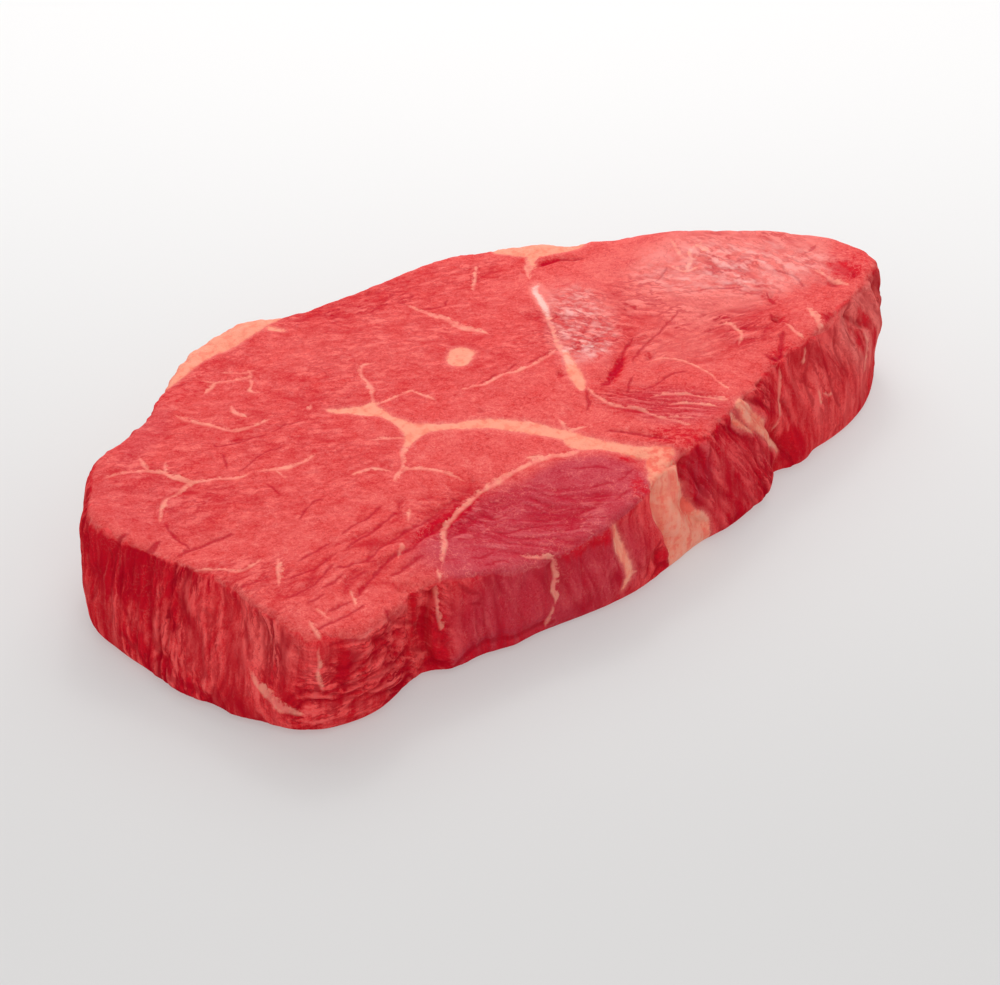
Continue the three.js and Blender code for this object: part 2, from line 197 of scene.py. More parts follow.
# Creases pressed into the meat: how deep, how wide, then the line.
CREASES = {
    FACE: (
        (0.8, 0.8, (-103.6, -8.8), (-101, -8.9), (-96.4, -9.6), (-89.8, -11)),
        (0.5, 0.5, (-99, 2.4), (-100.3, -1.6), (-100.3, -5.1), (-100.1, -8.4)),
        (0.3, 0.4, (-66.4, 18.8), (-62.4, 16.9), (-58.9, 15.4)),
        (0.3, 0.4, (-72.1, 15.4), (-73.2, 12.4), (-74.4, 10.8)),
        (0.25, 0.4, (-56.6, 15.6), (-52.6, 15.5), (-48.8, 14.3)),
        (0.25, 0.4, (-74, -17.3), (-69.2, -14.7), (-66, -14.9)),
        (0.25, 0.4, (-71.4, -2.5), (-71.3, -4.7), (-71.6, -6.6)),
        (0.3, 0.52, (-100, -29), (-94, -30)),
        (0.3, 0.52, (-84, -30), (-76, -29.5)),
        (0.42, 0.6, (-73, -33.5), (-66, -33), (-60, -31.5), (-55, -30.5)),
        (0.48, 0.6, (-95, -39), (-88, -39), (-84, -38), (-80, -36.5)),
        (0.36, 0.52, (-79, -38), (-77, -39.5), (-74, -39.5), (-71, -41)),
        (0.6, 0.68, (-72, -40), (-66, -38), (-60, -37), (-56, -36.5), (-50, -36), (-43, -34)),
        (0.42, 0.52, (-86, -41.5), (-80, -41)),
        (0.72, 0.75, (-81, -48), (-76, -45.5), (-72, -44), (-68, -42.5), (-62, -42), (-56, -40.5),
         (-50, -39.5), (-46, -38.5)),
        (0.36, 0.52, (-92, -43.5), (-88, -43.5)),
        (0.36, 0.52, (-79, -43), (-75, -43)),
        (0.42, 0.52, (-90, -48.5), (-85, -48.5)),
        (0.48, 0.6, (-70, -46.5), (-65, -46), (-60, -45)),
        (0.42, 0.52, (-97, -51.5), (-90, -52), (-83, -51.5)),
        (0.36, 0.45, (-90, -34), (-83, -34.5), (-77, -33.5)),
        (0.3, 0.45, (-70, -29), (-63, -28), (-57, -26.5)),
        (1.6, 1.5, (17.7, -22.8), (21.7, -21), (26.5, -18.6), (29.4, -17)),
        (0.7, 0.7, (28, -17.8), (33.1, -14.8), (37.1, -12.3)),
        (0.3, 0.5, (31, -19.5), (39.6, -16.3), (44.2, -15.1), (54.3, -11.4)),
        (0.42, 0.52, (20.5, -29), (25, -25.3)),
        (0.42, 0.5, (24.4, -30.9), (27.8, -30.9), (33.3, -30.5), (36.9, -32)),
        (0.4, 0.5, (13.5, -22.7), (11.5, -24.5), (9.7, -26.8)),
        (0.8, 0.7, (76.7, -20.5), (75.5, -23), (74.5, -25.3)),
        (0.8, 0.7, (70.1, -29.1), (69.6, -31), (70.2, -32.6)),
        (0.5, 0.6, (63, -7), (68, -9), (72, -13)),
        (0.5, 0.6, (86, -14), (88, -19), (86, -24)),
        (0.36, 0.45, (53, -22.5), (58, -23.5)),
        (0.42, 0.6, (61, 4), (66, 6)),
        (0.96, 0.68, (6, -38), (8, -40), (10, -43), (13, -47), (15, -50)),
        (0.24, 0.38, (8, -28), (11, -25), (13, -22)),
        (0.54, 0.52, (29, -38.5), (31, -40), (33, -42.5), (35.5, -46)),
        (0.9, 0.75, (57.5, -40), (58, -42), (60, -42.5), (62, -41), (65, -38.5), (66.8, -36.3)),
        (0.48, 0.6, (97, -13), (100, -12.5), (103, -11.5)),
        (1.2, 0.75, (42.6, 31), (45.6, 30.4), (47.8, 29.8), (49.9, 29.3), (54, 26)),
        (0.36, 0.45, (6.5, 34), (8, 33), (10, 32), (12, 31.5), (14, 33)),
        (0.45, 0.5, (-11, -50.4), (-8.5, -51.3), (-6.5, -52.7)),
        (0.45, 0.5, (-14.3, -52), (-12, -53.3), (-9.2, -55.7)),
        (0.3, 0.4, (-9.6, -43.1), (-6.6, -44.9), (-3.9, -47.7)),
        (0.35, 0.4, (-23.6, -48.1), (-21.5, -50.7), (-18.7, -51.9), (-16.5, -54.5)),
        (0.45, 0.5, (-48, -44.3), (-45.8, -45.3), (-43.6, -46.3), (-41.8, -47.2)),
        (0.4, 0.45, (-40.2, -45.3), (-37.2, -47.7), (-31.6, -49.2), (-26.1, -51.6), (-22, -55.6)),
        (0.35, 0.4, (-32.3, -45.7), (-28.7, -48.1), (-25.5, -50.9)),
        (0.35, 0.4, (-38.6, -39.8), (-36.9, -42.3), (-33.1, -43.7)),
        (0.3, 0.4, (-35.4, -51.4), (-32.9, -52.1), (-31.4, -54)),
        (0.35, 0.4, (-49.4, -51.6), (-46.6, -52), (-43.4, -51.9)),
        (0.35, 0.4, (-47.7, -54.8), (-44, -54.8), (-42.7, -56.2)),
        (0.4, 0.5, (-4.2, -53), (-1.6, -52.3), (0.5, -52.1)),
        (0.4, 0.5, (-9.5, -57.4), (-7.1, -56.9), (-4.8, -57.2)),
        (0.3, 0.45, (-5, -3), (0, -2.5)),
        (0.3, 0.45, (4, -3), (7, -2)),
        (0.3, 0.45, (10, -3.5), (17, -3.5)),
        (0.42, 0.45, (-35, -34.8), (-32, -34.5)),
        (0.3, 0.38, (-62, 48), (-59, 47)),
        (0.4, 0.5, (-70.5, 20.3), (-70.6, 19.3), (-69.1, 18.5), (-65.2, 17.2), (-62, 16.5)),
        (0.3, 0.4, (-72.7, 7.5), (-68.9, 8.5), (-64.2, 9.8), (-59.6, 8.5)),
    ),
    SIDE: (
        (0.9, 0.98, (268, 31), (270.2, 26), (271.2, 22), (273, 18), (273.5, 14), (276, 10.5), (280, 8.5),
         (283, 6)),
        (0.54, 0.6, (279.5, 24), (282, 20), (284, 17), (285.3, 14)),
        (0.48, 0.6, (258, 27), (259.3, 22)),
        (0.72, 0.75, (260.5, 31), (260.3, 24), (261, 16), (261.6, 13), (260.6, 8)),
        (0.48, 0.6, (264.2, 24), (265, 19)),
        (0.48, 0.6, (266, 15), (268, 12)),
        (0.72, 1.05, (254.4, 22), (255, 17), (254, 12)),
        (0.6, 0.9, (266, 9), (270, 6), (275, 4)),
        (0.6, 0.98, (283, 5), (290, 5.5), (294, 4), (300, 3)),
        (0.42, 0.45, (289, 23.5), (290.2, 20)),
        (0.6, 0.6, (300.3, 25), (302, 22), (304, 18)),
        (0.54, 0.6, (300, 18), (302, 13)),
        (0.54, 0.52, (305, 28.5), (306, 26), (306.3, 23), (308, 19.5)),
        (0.42, 0.6, (325, 26.5), (330, 27), (335, 26), (341, 23)),
        (0.42, 0.52, (336, 24), (340, 23), (342, 22)),
        (0.42, 0.52, (336.5, 19), (341.5, 19.3)),
        (0.36, 0.52, (325, 18), (328.5, 18.3), (331, 19.5)),
        (0.36, 0.52, (329, 20.5), (335, 22)),
        (0.42, 0.68, (340, 28.5), (345, 24.5), (350, 21.5), (355, 17.5), (358.5, 14)),
        (0.36, 0.6, (342, 19), (347, 15), (352, 12), (357, 8)),
        (0.36, 0.6, (326, 14), (333, 15), (341, 13), (347, 10)),
        (0.3, 0.6, (325, 9), (331, 10), (338, 8), (344, 5)),
        (0.48, 0.6, (366, 26), (368, 23), (370.5, 21.8)),
        (0.36, 0.6, (369, 19.3), (371.3, 18)),
        (0.84, 0.98, (363, 3), (368, 5.5), (373, 6), (379, 5), (386, 5.2), (392, 4)),
        (0.72, 0.98, (426, 13), (425, 9), (427, 5.5), (432, 3.5)),
        (0.96, 1.12, (440.5, 29.5), (441.8, 25), (443.5, 20), (446, 15.5)),
        (0.6, 0.83, (444.5, 30), (446, 25), (448, 20)),
        (0.7, 0.7, (428.6, 29), (428, 25), (429, 20), (430.4, 13), (433, 6)),
        (0.5, 0.6, (433.8, 28), (433.2, 24), (435, 19), (436.4, 14)),
        (0.6, 0.75, (449, 28), (448.3, 22), (450, 16), (452, 13), (454, 11)),
        (0.78, 0.9, (439.5, 18.5), (441.5, 15.3), (444, 14)),
        (0.48, 0.45, (463, 29), (465.5, 26.3)),
        (0.6, 0.4, (464.8, 31.5), (466.4, 27.5), (468.4, 24.2), (471, 21), (472.8, 18)),
        (0.4, 0.35, (468, 31), (470.2, 27.6), (472.6, 24.4), (474.8, 21), (475.6, 18.4)),
        (0.42, 0.45, (469.5, 26.8), (471, 25), (472.5, 23)),
        (0.36, 0.6, (463.5, 10), (468, 7)),
        (0.96, 1.05, (477, 17), (481, 13.5), (483.5, 10), (485, 6), (489, 2.5)),
        (0.36, 0.6, (485, 22.5), (487, 20.5), (488, 16)),
        (0.36, 0.75, (520.3, 27), (520, 23)),
        (0.9, 0.8, (526, 33), (524.2, 30.2), (525.3, 25.3)),
        (0.8, 0.8, (421, 6), (423.6, 9), (426.6, 11)),
        (0.6, 0.6, (423, 3.2), (428, 4.2), (431, 2.6)),
        (0.5, 0.7, (509, 30), (506, 24), (505.5, 17), (507, 10)),
        (0.5, 0.7, (516, 31), (513, 25), (512, 17)),
        (0.3, 0.68, (505, 31), (500, 27), (497, 22), (496, 16)),
    ),
}

# Pits, and swells where the depth is below 0: x, y, depth and radius.
PITS = {
    FACE: (
        (-13, -12, 0.8, 0.9), (12.5, -12, 0.7, 0.8), (2, 50, 1.2, 1.1), (34.5, -21.5, 0.8, 0.7),
        (70.3, -30.5, 1.8, 1.2), (73.5, -24.5, 1.0, 0.9), (77, -22, 0.9, 0.8), (4.5, -50, 0.8, 1.4),
        (-32, -31, 0.6, 0.8), (-57, 25, 0.6, 0.8), (93.5, -28, 1.3, 1.8), (100, -29, 0.8, 1.1),
        (78, 13, -1.8, 12.0), (-30, 57, -1.4, 8.0), (49, 39, -1.6, 8.0), (62, 33, -0.8, 6.0),
        (12.8, -12.9, 0.6, 1.0), (35.5, -21.1, 0.8, 0.8), (81.5, -38.5, 0.8, 1.6),
    ),
    SIDE: (
        (524.5, 30, 1.0, 0.9), (526, 26.3, 1.2, 1.1), (252.5, 18.5, 1.0, 2.2), (431.3, 23.5, 0.7, 1.8),
        (434.5, 18.8, 0.6, 1.6), (439.8, 16.2, 1.2, 1.8), (477.3, 31.4, 0.9, 1.2), (487, 19.8, 0.7, 1.6),
        (470.6, 32.0, 0.9, 1.3), (541, 33, -1.5, 6.0), (523, 9, 1.6, 8.0), (536, 11, 1.0, 7.0),
        (248, 29, -2.0, 7.0), (256, 30, -1.2, 6.0), (345, 27, -1.2, 5.0), (472, 5, -2.2, 6.5),
        (489, 4, -3.2, 6.0), (481.5, 5, 1.6, 3.0), (507, 4, 1.6, 9.0), (285, 5, -1.4, 8.0),
        (300, 5, -2.4, 9.0), (314, 4, -1.2, 7.0), (350, 5, -1.4, 6.0), (365, 5, -2.0, 6.0),
        (380, 5, -1.6, 7.0), (226, 28, -1.4, 9.0), (533, 23, -1.6, 6.0),
    ),
}

# Steps where one muscle stands proud of the next: how deep, how far the step reaches, then the line. The skin
# is pushed in on the left of a line that runs downwards, seen from outside.
STEPS = {
    SIDE: (
        (2.6, 6.0, (361.2, 27), (360.3, 24), (359.3, 20.5), (358.8, 16.5), (358.5, 12), (358.9, 7),
         (359.7, 3)),
        (2.6, 9.0, (432.4, 1), (430.8, 6.4), (429, 10.5), (427.2, 15.5), (425.8, 20), (424.9, 25),
         (425.6, 29)),
        (2.4, 5.0, (441.5, 31), (439.8, 27), (439.3, 21), (440.4, 15), (443.5, 10), (448, 6.5)),
        (1.8, 6.0, (489, 2), (485.5, 6), (483, 10), (480.5, 13.5), (477, 17.5), (474.5, 21)),
        (1.0, 5.0, (394, 24.5), (396, 16), (396.5, 8)),
    ),
}

# Where the upper face rolls over its rim: how far round the side, how far the roll reaches and how far it
# hangs down.
ROLLS = ((396, 22, 1.8), (341, 12, 1.0), (532, 6, 2.2), (524.6, 2.6, -2.4), (514, 6, 1.4), (548, 5, 1.2))

# Fields of small wrinkles: middle, reach along the fibres and across them, direction of the fibres in
# degrees, length and spacing of the wrinkles, depth, strength of the finest lines on them.
WRINKLES = {
    FACE: (
        ((-62, -39), (34, 14), 4, 17.0, 4.6, 0.46, 0.4),
        ((-100, -30), (16, 16), -14, 11.0, 3.6, 0.22, 0.65),
        ((-30, -48), (32, 14), -40, 12.0, 3.0, 0.4, 0.7),
        ((34, 2), (16, 20), -66, 9.0, 3.2, 0.45, 1.0),
        ((88, -4), (26, 20), -86, 12.0, 4.4, 0.28, 0.75),
        ((62, -8), (24, 20), -54, 13.0, 4.4, 0.3, 0.78),
        ((50, -24), (30, 12), -14, 17.0, 3.4, 0.34, 0.84),
        ((24, -38), (20, 9), -50, 22.0, 2.4, 0.45, 1.0),
        ((-15, 30), (60, 34), -34, 10.0, 4.0, 0.14, 0.52),
        ((-70, 10), (44, 34), -30, 11.0, 4.4, 0.16, 0.56),
        ((5, 47), (44, 10), -20, 11.0, 3.4, 0.26, 0.72),
    ),
    SIDE: (
        ((264, 18), (20, 26), -80, 34.0, 4.0, 0.9, 1.0),
        ((296, 16), (20, 18), -76, 20.0, 4.0, 0.5, 1.0),
        ((332, 16), (18, 16), 5, 13.0, 3.6, 0.62, 1.0),
        ((352, 16), (12, 16), -34, 14.0, 3.0, 0.55, 1.0),
        ((392, 14), (36, 18), -76, 22.0, 3.6, 0.24, 0.4),
        ((459, 16), (24, 18), -60, 26.0, 3.6, 0.75, 1.0),
        ((512, 16), (30, 18), -84, 26.0, 6.0, 0.28, 0.75),
        ((556, 16), (24, 18), -80, 14.0, 3.4, 0.55, 1.0),
        ((30, 16), (60, 18), -80, 14.0, 3.6, 0.5, 1.0),
        ((120, 16), (60, 18), -70, 12.0, 3.4, 0.5, 1.0),
        ((215, 16), (32, 18), -76, 15.0, 3.2, 0.6, 1.0),
    ),
}

# ---------------------------------------------------------------- colours
# Spots of colour: middle, reach, turn in degrees and how much.
# Where the meat is paler (above 0) or more purple (below 0) than elsewhere.
TONES = {
    FACE: (
        ((-33, -48), (32, 13), -6, -1.0),
        ((-10, -50), (14, 11), -30, -0.9),
        ((-46, -57), (16, 9), 0, -0.7),
        ((-24, -60), (18, 9), 0, -0.7),
        ((-6, -60), (12, 8), 0, -0.5),
        # the far end: paler lean, and a painted sheen
        ((82, -4), (32, 20), 5, 1.9),
        ((60, 10), (30, 16), 10, 0.5),
        ((33.5, 18), (9, 3), 62, 1.2),
        ((-15, 32), (30, 16), -30, 0.3),
        ((47, -20), (14, 12), 0, 0.4),
        ((34, 2), (18, 16), -50, 0.3),
        ((23.5, 0.5), (8, 3.4), 60, 1.2),
        ((52, -24), (26, 12), 0, 0.25),
        ((-80, 36), (14, 6), 30, -0.35),
        ((-98, 14), (14, 20), 0, -0.25),
        ((24, -40), (16, 9), -50, -0.45),
    ),
    SIDE: (
        ((443.5, 24), (6, 10), 0, -0.55),
        ((533, 25), (20, 14), 0, 0.7),
        ((460, 16), (20, 22), 0, -0.36),
        ((342, 27), (8, 5), 0, 0.35),
        ((296, 16), (20, 20), 0, 0.2),
        # paler just below the rim: a painted highlight
        ((312, 24), (12, 8), 0, 0.35),
        ((392, 14), (34, 20), 0, -0.8),
        ((376, 2), (26, 6), 0, -0.6),
        ((512, 18), (26, 20), 0, 0.3),
    ),
}

# Where the meat is a fuller, deeper red.
BLOODS = {
    FACE: (
        ((-3, -60), (8, 3), 60, 0.6),
        ((17, -51), (9, 5), -45, 0.6),
        ((24.5, -20), (7.5, 1.8), 28, 0.85),
        ((35.2, -20.3), (1.4, 1.2), 0, 0.5),
        ((46, 30.4), (5, 1.2), -10, 0.9),
        ((8.4, -53.5), (5, 4), 0, 0.5),
        ((3.4, -48.5), (3.6, 1.6), -40, 0.7),
        ((60, -42), (6, 3), 20, 0.6),
        ((75.5, -23), (2.0, 3.0), 15, 0.5),
        ((70, -31), (1.8, 3.2), 0, 0.5),
        ((81, -38.5), (3, 3), 0, 0.5),
        ((12.8, -12.9), (2, 1.6), 0, 0.4),
        ((104, -24), (8, 9), 0, 0.4),
        ((100, -26), (4, 5), 0, 0.5),
        ((-47, -38), (15, 2.4), 10, 0.8),
        ((-60, 46), (14, 5), 20, 0.3),
    ),
    SIDE: (
        ((261, 26), (15, 11), 0, 1.0),
        ((271.5, 18), (2.2, 14), 0, 0.7),
        ((284, 30), (14, 5), 0, 0.5),
        ((280, 5), (22, 5), -12, 0.6),
        ((359, 10), (3.4, 12), 0, 0.9),
        ((374, 3), (20, 4), 0, 0.55),
        ((402, 25), (12, 4.5), 0, 0.7),
        ((428.8, 6), (4.4, 6), 0, 1.0),
        ((443.5, 24), (7, 12), 0, 0.5),
        ((439.8, 16), (2.4, 3.2), 0, 1.0),
        ((462, 10), (14, 8), -20, 0.4),
        ((480, 27), (5, 8), 20, 0.5),
        ((487.5, 7), (4.5, 7), 0, 1.0),
        ((457, 28), (7, 5), 0, 0.7),
        ((552, 26), (12, 10), 0, 0.4),
        ((526, 22), (5, 10), 0, 0.6),
        ((30, 16), (60, 20), 0, 0.3),
        ((215, 18), (36, 20), 0, 0.4),
    ),
}

# Where the meat glistens: it gets a coat there, and its colour goes towards a painted sheen.
GLISTENS = {
    FACE: (
        ((33.5, 3), (20, 8.5), 60, 1.0),
        ((80, -6), (28, 14), -38, 0.9),
        ((23, -9), (8, 5), 0, 0.9),
    ),
}

# What the panel calls each colour, what has it, and the colour.
COLOURS = {
    # The lean on the cut face is paler than on the side: besides its own colour it holds a painted sheen from
    # the light behind the steak.
    "lean": ("Lean", "the lean on the cut face", (0.83, 0.146, 0.132)),
    "deep": ("Deep lean", "the darker fibres on the cut face", (0.66, 0.038, 0.040)),
    "side": ("Side lean", "the lean on the side", (0.89, 0.092, 0.092)),
    "deep_side": ("Deep side lean", "the darker fibres on the side", (0.66, 0.011, 0.021)),
    "blood": ("Bloody lean", "lean that is soaked with blood", (0.62, 0.007, 0.020)),
    "crimson": ("Crimson", "purple lean", (0.60, 0.094, 0.118)),
    "dark_crimson": ("Dark crimson", "the darker fibres of purple lean", (0.48, 0.020, 0.042)),
    # pale lean, the specks in it, and painted sheen and highlights
    "pale": ("Pale lean", "pale lean and the specks in it", (0.90, 0.24, 0.21)),
    # a painted sheen where the meat glistens, and the palest fat
    "sheen_and_pale_fat": ("Painted sheen and pale fat", "the wet film and the palest fat", (0.95, 0.55, 0.50)),
    # shade painted into clefts, folds, cracks, pits and the wrinkles' lines, on the cut face and on the side
    "cleft": ("Shade in clefts", "clefts on the cut face", (0.46, 0.003, 0.020)),
    "side_cleft": ("Clefts on the side", "clefts on the side", (0.36, 0.001, 0.011)),
    "fat": ("Fat", "fat on the cut face", (0.92, 0.29, 0.18)),
    "side_fat": ("Fat on the side", "fat on the side", (0.94, 0.27, 0.17)),
    "pale_fat": ("Pale fat", "the paler parts of fat and veins", (0.93, 0.37, 0.27)),
    "vein": ("Veins", "thin veins", (0.93, 0.26, 0.22)),
    "membrane": ("Membrane", "the red patches and strands in fat", (0.88, 0.15, 0.11)),
}


# ---------------------------------------------------------------- small helpers
DIRECTIONS = 256  # that one noise draws from
NOISE_GAIN = 1.6  # makes the noise reach about -1 and 1
FLAT_LEVEL = 0.37  # the level at which flat noise is read


def ease(start, end, value):
    """0 up to start, 1 from end on and smooth between them."""
    share = np.clip((value - start) / (end - start), 0.0, 1.0)
    return share * share * (3.0 - 2.0 * share)


def lattice(seed):
    """The shuffled numbers and the directions that one noise draws from."""
    draw = np.random.default_rng(seed)
    turn = draw.normal(size=(DIRECTIONS, 3))
    return draw.permutation(DIRECTIONS), turn / np.linalg.norm(turn, axis=1)[:, None]


def noise(points, seed):
    """Smooth noise from about -1 to 1, whose lumps are about one unit across."""
    order, turn = lattice(seed)
    cell = np.floor(points).astype(int)
    inside = points - cell
    fade = inside * inside * inside * (inside * (inside * 6.0 - 15.0) + 10.0)
    total = np.zeros(len(points))
    for corner in range(8):
        step = np.array([(corner >> axis) & 1 for axis in range(3)])
        x, y, z = ((cell + step) % DIRECTIONS).T
        pick = order[(order[(order[x] + y) % DIRECTIONS] + z) % DIRECTIONS]
        weight = np.prod(np.where(step, fade, 1.0 - fade), axis=1)
        total += weight * np.einsum("ij,ij->i", turn[pick], inside - step)
    return total * NOISE_GAIN


def lumps(points, rows):
    """Relief from rows of height, size and seed."""
    return sum(height * noise(points / size, seed) for height, size, seed in rows)


def flat_noise(across, along, seed):
    """Noise over two coordinates."""
    return noise(np.stack([across, along, np.full(len(across), FLAT_LEVEL)], axis=1), seed)


def rows_of(table):
    """The rows of a table, each with the surface it belongs to in front."""
    return ((where, *row) for where, rows in table.items() for row in rows)


# ---------------------------------------------------------------- the skin of the slice
WELD = 1e-6  # metres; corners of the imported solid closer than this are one
CUT_SLACK = 1e-5  # corners this near the cut at SIDE_LEVEL lie on it
TURN_SLACK = 1e-4  # radians
NO_LENGTH = 1e-6  # the least length of a step of a line
RAY_START = 200  # from the hub, well outside the steak
LOWEST = 0.2  # height of the lowest point of a line on the side
LINE_STEP = 0.8  # between the points of a line laid over the skin
END_FADE = 0.4  # the most of its length over which a line fades out at one end
END_OVERLAP = 0.2  # and how much of that fade lies beyond its end
PAST_END = (0.8, 0.0)  # where a line's trace beyond its end starts and where it is full
SOFTENING = 0.5  # how far a round of smoothing takes each point to the middle of its neighbours
SOFTENING_ROUNDS = 6  # of smoothing
UNDERSIDE = 0.15  # height up to which the skin counts as the flat underside
UNDERSIDE_SAVING = 0.94  # of the faces there
UNDERSIDE_WEIGHT = 1000.0  # keeps the thinning of the faces to the underside
SIDE_TILT = (0.85, 0.5)  # how upright a normal is where the side starts and where it is full


class Slice:
    """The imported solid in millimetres, and the two ways of naming a point on it."""

    def __init__(self, node):
        bm = bmesh.new()
        bm.from_mesh(node.data)
        bmesh.ops.remove_doubles(bm, verts=bm.verts, dist=WELD)
        bmesh.ops.scale(bm, vec=(1 / MM,) * 3, verts=bm.verts)
        self.tree = BVHTree.FromBMesh(bm)
        self.top = max(v.co.z for v in bm.verts)
        cut = bmesh.ops.bisect_plane(
            bm,
            geom=bm.verts[:] + bm.edges[:] + bm.faces[:],
            dist=CUT_SLACK,
            plane_co=(0, 0, SIDE_LEVEL),
            plane_no=(0, 0, 1),
        )
        ring = np.array([g.co[:2] for g in cut["geom_cut"] if isinstance(g, bmesh.types.BMVert)])
        bm.free()
        turn = self.turn_of(ring)
        order = np.argsort(turn)
        ring, turn = ring[order], turn[order]
        steps = np.linalg.norm(np.diff(ring, axis=0, append=ring[:1]), axis=1)
        self.girth = steps.sum()
        self.turns = np.append(turn, turn[0] + 2 * math.pi)
        self.runs = np.append(0.0, np.cumsum(steps))

    def turn_of(self, points):
        """The angle about the hub, from SIDE_START on."""
        angle = np.arctan2(points[:, 1] - SIDE_HUB[1], points[:, 0] - SIDE_HUB[0])
        return (angle - SIDE_START + TURN_SLACK) % (2 * math.pi)

    def run_of(self, points):
        """How far round the side the points lie."""
        return np.interp(self.turn_of(points), self.turns, self.runs)

    def on_face(self, x, y):
        """The point of the upper face at x and y."""
        spot = Vector((x + FACE_ZERO[0], y + FACE_ZERO[1], 2 * self.top))
        hit = self.tree.ray_cast(spot, Vector((0, 0, -1)))[0]
        return hit or self.tree.find_nearest(spot - Vector((0, 0, self.top)))[0]

    def on_side(self, run, height):
        """The point of the side at that run and height."""
        turn = np.interp(run % self.girth, self.runs, self.turns) + SIDE_START
        inward = Vector((-math.cos(turn), -math.sin(turn), 0))
        start = Vector((*SIDE_HUB, max(height, LOWEST))) - inward * RAY_START
        hit = self.tree.ray_cast(start, inward)[0]
        return hit or self.tree.find_nearest(start)[0]

    def lay(self, where, points):
        """A smooth line over the skin through the points, and what they carry after their places."""
        points = np.array(points, float)
        ends = np.vstack([2 * points[0] - points[1], points, 2 * points[-1] - points[-2]])
        rows = []
        for a, b, c, d in zip(ends, ends[1:], ends[2:], ends[3:]):
            count = max(2, int(np.hypot(*(c - b)[:2]) / LINE_STEP))
            for share in np.arange(count) / count:
                bow = (2 * a - 5 * b + 4 * c - d) * share**2 + (3 * b - a - 3 * c + d) * share**3
                rows.append(0.5 * (2 * b + (c - a) * share + bow))
        rows = np.array(rows + [points[-1]])
        put = self.on_face if where == FACE else self.on_side
        return np.array([put(*row[:2]) for row in rows]), rows[:, 2:]

    def seen_from(self, where, middle, angle, co, run):
        """How far round from a turned patch's middle the points lie, and how far along and across it."""
        if where == FACE:
            u = co[:, 0] - FACE_ZERO[0] - middle[0]
            v = co[:, 1] - FACE_ZERO[1] - middle[1]
        else:
            u = (run - middle[0] + self.girth / 2) % self.girth - self.girth / 2
            v = co[:, 2] - middle[1]
        lean = math.radians(angle)
        along = u * math.cos(lean) + v * math.sin(lean)
        return u, along, v * math.cos(lean) - u * math.sin(lean)


class Near:
    """The points of a skin that lie near a line, and how they lie to it."""

    def __init__(self, co, normal, line, reach):
        low, high = line.min(0) - reach, line.max(0) + reach
        self.pick = np.flatnonzero(np.all((co > low) & (co < high), axis=1))
        point = co[self.pick]
        count = len(point)
        start, run = line[:-1], np.diff(line, axis=0)
        length = np.maximum(np.linalg.norm(run, axis=1), NO_LENGTH)
        self.gap = np.full(count, np.inf)
        self.step = np.zeros(count, int)
        self.share = np.zeros(count)
        self.beyond = np.zeros(count)
        for index in range(len(run)):
            away = point - start[index]
            along = away @ run[index] / length[index]
            held = np.clip(along, 0.0, length[index])
            gap = np.linalg.norm(away - held[:, None] * (run[index] / length[index]), axis=1)
            closer = gap < self.gap
            self.gap = np.where(closer, gap, self.gap)
            self.step = np.where(closer, index, self.step)
            self.share = np.where(closer, held / length[index], self.share)
            over = np.zeros(count)
            if index == 0:
                over = np.maximum(-along, 0.0)
            if index == len(run) - 1:
                over = np.maximum(over, along - length[index])
            self.beyond = np.where(closer, over, self.beyond)
        tangent = run[self.step] / length[self.step][:, None]
        nearest = start[self.step] + run[self.step] * self.share[:, None]
        self.offset = np.einsum("ij,ij->i", np.cross(tangent, normal[self.pick]), point - nearest)
        self.along = np.append(0.0, np.cumsum(length))[self.step] + self.share * length[self.step]
        self.total = length.sum()

    def value(self, carried):
        """What the line carries, read at the nearest place on it."""
        return carried[self.step] + (carried[self.step + 1] - carried[self.step]) * self.share

    def fade(self, over):
        """1 in the middle of the line, falling to 0 over that length at its ends."""
        over = min(over, self.total * END_FADE)
        inner = np.minimum(self.along, self.total - self.along)
        return ease(-END_OVERLAP * over, over, inner) * ease(*PAST_END, self.beyond)


def even_skin(node, size):
    """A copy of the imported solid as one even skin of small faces, coarser on the flat underside."""
    bm = bmesh.new()
    bm.from_mesh(node.data)
    bmesh.ops.remove_doubles(bm, verts=bm.verts, dist=WELD)
    mesh = bpy.data.meshes.new("raw_steak")
    bm.to_mesh(mesh)
    bm.free()
    steak = bpy.data.objects.new("raw_steak", mesh)
    bpy.context.scene.collection.objects.link(steak)
    modify(steak, "SUBSURF", levels=1, render_levels=1)
    modify(steak, "REMESH", mode="VOXEL", voxel_size=size)
    modify(steak, "SMOOTH", factor=SOFTENING, iterations=SOFTENING_ROUNDS)
    bake_modifiers(steak)
    under = steak.vertex_groups.new(name="under")
    flat = [v.index for v in steak.data.vertices if v.co.z < UNDERSIDE * MM]
    under.add(flat, 1.0, "REPLACE")
    kept = 1.0 - UNDERSIDE_SAVING * len(flat) / len(steak.data.vertices)
    modify(steak, "DECIMATE", vertex_group=under.name, vertex_group_factor=UNDERSIDE_WEIGHT, ratio=kept)
    bake_modifiers(steak)
    steak.vertex_groups.clear()
    return steak


def modify(thing, kind, **settings):
    """Adds a modifier with those settings."""
    modifier = thing.modifiers.new(kind.lower(), kind)
    for name, value in settings.items():
        setattr(modifier, name, value)


def bake_modifiers(thing):
    """Applies the modifiers of a thing to its mesh."""
    shown = thing.evaluated_get(bpy.context.evaluated_depsgraph_get())
    made = bpy.data.meshes.new_from_object(shown)
    old = thing.data
    thing.modifiers.clear()
    thing.data = made
    made.name = thing.name
    bpy.data.meshes.remove(old)


